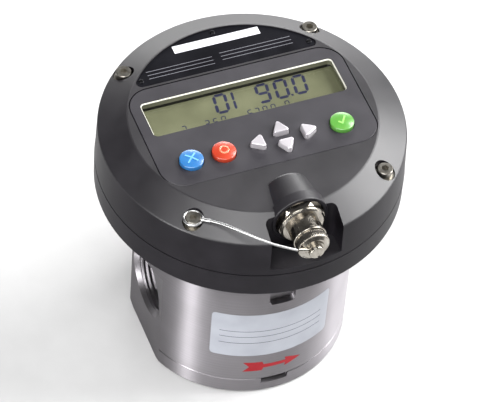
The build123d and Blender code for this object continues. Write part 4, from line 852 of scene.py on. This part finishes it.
def swept(a, b, lift):
    """The arrow's own lay: its tail is notched and its barbs sweep back, by the distance from
    its middle line."""
    tail = np.clip(1 - a / FEATHER_LENGTH, 0, 1)
    barb = np.clip(1 - np.abs(a - BARB_PLACE) / BARB_LENGTH, 0, 1) * (a > BARB_PLACE)
    shift = (FEATHER_HALF - np.abs(b)) * FEATHER_SLANT * tail - np.abs(b) * BARB_SLANT * barb
    return on_body(ARROW_FROM + a + shift, ARROW_Z + b, lift)


arrow_along = np.unique(np.concatenate([ARROW_PLACES, np.linspace(0, ARROW_PLACES[-1], 60)]))
arrow_half = np.interp(arrow_along, ARROW_PLACES, ARROW_HALVES)
arrow = plate(swept, arrow_along, -arrow_half, arrow_half, FILM, across=9)
piece("flow_arrow", [arrow], arrow_red, sharp=60)

# %% [markdown]
# ### Marks on the keys
# The round keys carry raised marks that a finger can feel: a cross, a ring and a tick. Each is
# laid on the crown of its key, which is part of a sphere, and rides on that key.

# %% Key marks
KEY_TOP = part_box("blue_key")[1].z
KEY_RADIUS, KEY_CROWN = 5.4 * MM, 0.8 * MM
CROWN_RADIUS = (KEY_RADIUS**2 + KEY_CROWN**2) / (2 * KEY_CROWN)
KEY_Y, BLUE_X, RED_X, GREEN_X = -16.8 * MM, -35.5 * MM, -20.3 * MM, 35.6 * MM
MARK_LIFT, MARK_SINK = 0.25 * MM, 0.1 * MM
CROSS_REACH, CROSS_STROKE = 2.3 * MM, 0.7 * MM
TICK_STROKE = 0.8 * MM
TICK_SHORT, TICK_LONG = ((-2.0, -0.3), (-0.5, -1.9)), ((-0.7, -1.9), (2.0, 2.1))
RING_RADIUS, RING_WIDTH = 1.9 * MM, 0.9 * MM


def on_crown(x, y):
    """Lays flat coordinates on the spherical top of a round key."""

    def lay(a, b, lift):
        """Point (a, b) from the middle of the key, lower by R - sqrt(R**2 - a**2 - b**2)."""
        drop = CROWN_RADIUS - np.sqrt(CROWN_RADIUS**2 - a**2 - b**2)
        return np.stack([x + a, y + b, KEY_TOP - drop + lift], -1)

    return lay


def crown_ring(lay, radius, width, thickness):
    """Raised ring: a half circle carried round a circle, closed underneath."""
    around = np.linspace(0, 2 * np.pi, 48, endpoint=False)[None, :]
    section = np.linspace(0, np.pi, 8)[:, None]
    reach = radius + width / 2 * np.cos(section)
    lift = thickness * np.sin(section) - MARK_SINK + 0 * around
    return lay(reach * np.cos(around), reach * np.sin(around), lift), True, True


blue_lay, red_lay, green_lay = (on_crown(x, KEY_Y) for x in (BLUE_X, RED_X, GREEN_X))
cross = []
for rise in (CROSS_REACH, -CROSS_REACH):
    first, last = (-CROSS_REACH, -rise), (CROSS_REACH, rise)
    cross.append(bar(blue_lay, first, last, CROSS_STROKE, MARK_LIFT, -MARK_SINK, 9))
piece("blue_key_mark", cross, mark_blue, "blue_key")
tick = []
for stroke, steps in ((TICK_SHORT, 6), (TICK_LONG, 9)):
    first, last = np.array(stroke) * MM
    tick.append(bar(green_lay, first, last, TICK_STROKE, MARK_LIFT, -MARK_SINK, steps))
piece("green_key_mark", tick, mark_green, "green_key")
ring = crown_ring(red_lay, RING_RADIUS, RING_WIDTH, MARK_LIFT)
piece("red_key_mark", [ring], mark_red, "red_key")

# %% [markdown]
# ## Threads and knurls
# A thread is a surface whose radius depends on the angle and on the place along the axis
# together: the same V returns one pitch further on after each turn. The ports have the coarse
# pipe thread, drawn a little shallower than it is cut. The connector's barrel has a fine one. A
# plain wall behind each thread closes it.

# %% Thread function


def along_axis(origin, axis, across, other):
    """Lays (radius, angle, run) round an axis in space."""
    origin, axis, across, other = (np.array(v, float) for v in (origin, axis, across, other))

    def lay(radius, angle, run):
        """Point at a radius and an angle, so far along the axis."""
        ring = np.cos(angle)[..., None] * across + np.sin(angle)[..., None] * other
        return origin + run[..., None] * axis + radius[..., None] * ring

    return lay


def backed(lay, radius, angle, run, length, back):
    """Closed ring: a surface around the axis, and a plain wall of the radius back behind it."""
    run, angle = np.broadcast_arrays(run, angle)
    around = angle.shape[1]
    run = np.vstack([run, np.full((1, around), length), np.zeros((1, around))])
    angle = np.vstack([angle, angle[:2]])
    return lay(np.vstack([radius, np.full((2, around), back)]), angle, run), True, True


def thread(lay, length, pitch, root, crest, back, around=96, per_pitch=10):
    """Thread on a cylinder. The radius is root + (crest - root) v, where v is a triangle wave of
    run / pitch - angle / (2 pi), fading out over the last half pitch at both ends."""
    steps = int(length / pitch * per_pitch) + 1
    run = np.linspace(0, length, steps)[:, None]
    angle = np.linspace(0, 2 * np.pi, around, endpoint=False)[None, :]
    phase = run / pitch - angle / (2 * np.pi)
    wave = 1 - np.abs(2 * (phase % 1) - 1)
    fade = np.clip(np.minimum(run, length - run) / (pitch / 2), 0, 1)
    radius = root + (crest - root) * wave * fade
    return backed(lay, radius, angle, run, length, back)


# %% [markdown]
# The two ports are mirror images. The thread stands on the wall of the bore, so its crest is
# nearer to the axis than its root.

# %% Port threads
PORT_Z, PORT_START, PORT_LENGTH, PORT_PITCH = 37.5 * MM, 44.6 * MM, 15.2 * MM, 2.309 * MM
PORT_ROOT, PORT_CREST, PORT_BACK = 15.08 * MM, 14.25 * MM, 15.1 * MM
for name, side in (("outlet", 1), ("inlet", -1)):
    port_lay = along_axis((side * PORT_START, 0, PORT_Z), (-side, 0, 0), (0, 1, 0), (0, 0, 1))
    grid = thread(port_lay, PORT_LENGTH, PORT_PITCH, PORT_ROOT, PORT_CREST, PORT_BACK)
    piece(f"{name}_thread", [grid], turned_aluminium, sharp=80)

# %% [markdown]
# The knurl of the dust cap is straight, so its radius depends on the angle alone, and it fades
# out at both ends. The ridges stand on the cap and turn with it.

# %% Barrel thread and cap knurl
BARREL_FROM, BARREL_LENGTH, BARREL_PITCH = 59.75 * MM, 1.2 * MM, 0.5 * MM
BARREL_ROOT, BARREL_CREST, BARREL_BACK = 9.98 * MM, 10.2 * MM, 9.9 * MM
KNURL_FROM, KNURL_LENGTH, KNURL_RIDGES = 70.35 * MM, 3.6 * MM, 60
KNURL_ROOT, KNURL_CREST, KNURL_BACK = 7.1 * MM, 7.32 * MM, 6.9 * MM


def connector_lay(start):
    """Lay round the connector's axis, which starts at a distance in front of the meter's axis."""
    return along_axis((0, -start, AXIS_Z), (0, -1, 0), (1, 0, 0), (0, 0, 1))


def knurl(lay, length, root, crest, ridges, back):
    """Straight knurl: the radius is root + (crest - root) h (1 + 3 |cos(n angle / 2)|) / 4, with
    a height h that rises and falls at the ends."""
    run = length * np.array([0, 0.04, 0.12, 0.88, 0.96, 1.0])[:, None]
    height = np.array([0, 0.7, 1, 1, 0.7, 0])[:, None]
    angle = np.linspace(0, 2 * np.pi, ridges * 6, endpoint=False)[None, :]
    radius = root + (crest - root) * height * (0.25 + 0.75 * np.abs(np.cos(ridges * angle / 2)))
    return backed(lay, radius, angle, run, length, back)


barrel_lay, cap_lay = connector_lay(BARREL_FROM), connector_lay(KNURL_FROM)
barrel = thread(
    barrel_lay, BARREL_LENGTH, BARREL_PITCH, BARREL_ROOT, BARREL_CREST, BARREL_BACK, per_pitch=8
)
piece("barrel_thread", [barrel], bright_nickel, sharp=80)
ridges = knurl(cap_lay, KNURL_LENGTH, KNURL_ROOT, KNURL_CREST, KNURL_RIDGES, KNURL_BACK)
piece("cap_knurl", [ridges], bright_nickel, "dust_cap", sharp=80)

# %% [markdown]
# ## Floor and light
# The meter stands on a plain pale floor, which is there for the picture only. One large square
# is enough, since its edges stay outside the view.

# %% Floor
FLOOR_HALF = 3.0
floor_pale = moulded("studio_floor", "#bebebe", "#c2c2c2", 0.8, 8 * MM, 0.02, specular=0.2)
floor_mesh = bpy.data.meshes.new("floor")
floor_points = np.array([(-1, -1, 0), (1, -1, 0), (1, 1, 0), (-1, 1, 0)], float) * FLOOR_HALF
floor_mesh.from_pydata(floor_points.tolist(), [], [(0, 1, 2, 3)])
floor_mesh.materials.append(floor_pale)
floor = bpy.data.objects.new("floor", floor_mesh)
bpy.context.scene.collection.objects.link(floor)
print(floor.name, 2 * FLOOR_HALF, "m wide")

# %% [markdown]
# A large soft lamp high on the right does most of the work, a second one above the front fills
# in, and a low one stands behind. A tall narrow lamp on each side draws the upright bands on the
# metal. The rest of the room stays dark, which gives the head its black side.

# %% Lamps
AIM = Vector((0, 0, 90 * MM))


def soft_lamp(name, way, distance, width, height, power):
    """Rectangular area lamp that stands off in a direction and looks at the meter."""
    data = bpy.data.lights.new(name, "AREA")
    data.shape = "RECTANGLE"
    data.size, data.size_y = width, height
    data.energy = power
    lamp = bpy.data.objects.new(name, data)
    way = Vector(way).normalized()
    lamp.location = AIM + way * distance
    lamp.rotation_euler = (-way).to_track_quat("-Z", "Y").to_euler()
    bpy.context.scene.collection.objects.link(lamp)
    print(name, power, "W")


soft_lamp("key_right", (0.80, 0.02, 0.62), 1.1, 0.9, 0.8, 29)
soft_lamp("back", (0.35, 0.95, 0.28), 1.2, 1.0, 0.4, 12)
soft_lamp("strip_left", (-0.9, -0.44, 0.22), 1.2, 0.14, 0.9, 16)
soft_lamp("strip_right", (0.94, -0.34, 0.3), 1.2, 0.12, 0.8, 3)
soft_lamp("top", (-0.25, -0.45, 1.0), 1.5, 0.9, 0.9, 24)

world = bpy.data.worlds.new("studio")
world.use_nodes = True
background = world.node_tree.nodes["Background"]
background.inputs["Color"].default_value = linear("#ffffff")
background.inputs["Strength"].default_value = 0.1
bpy.context.scene.world = world
bpy.context.scene.view_settings.view_transform = "Standard"
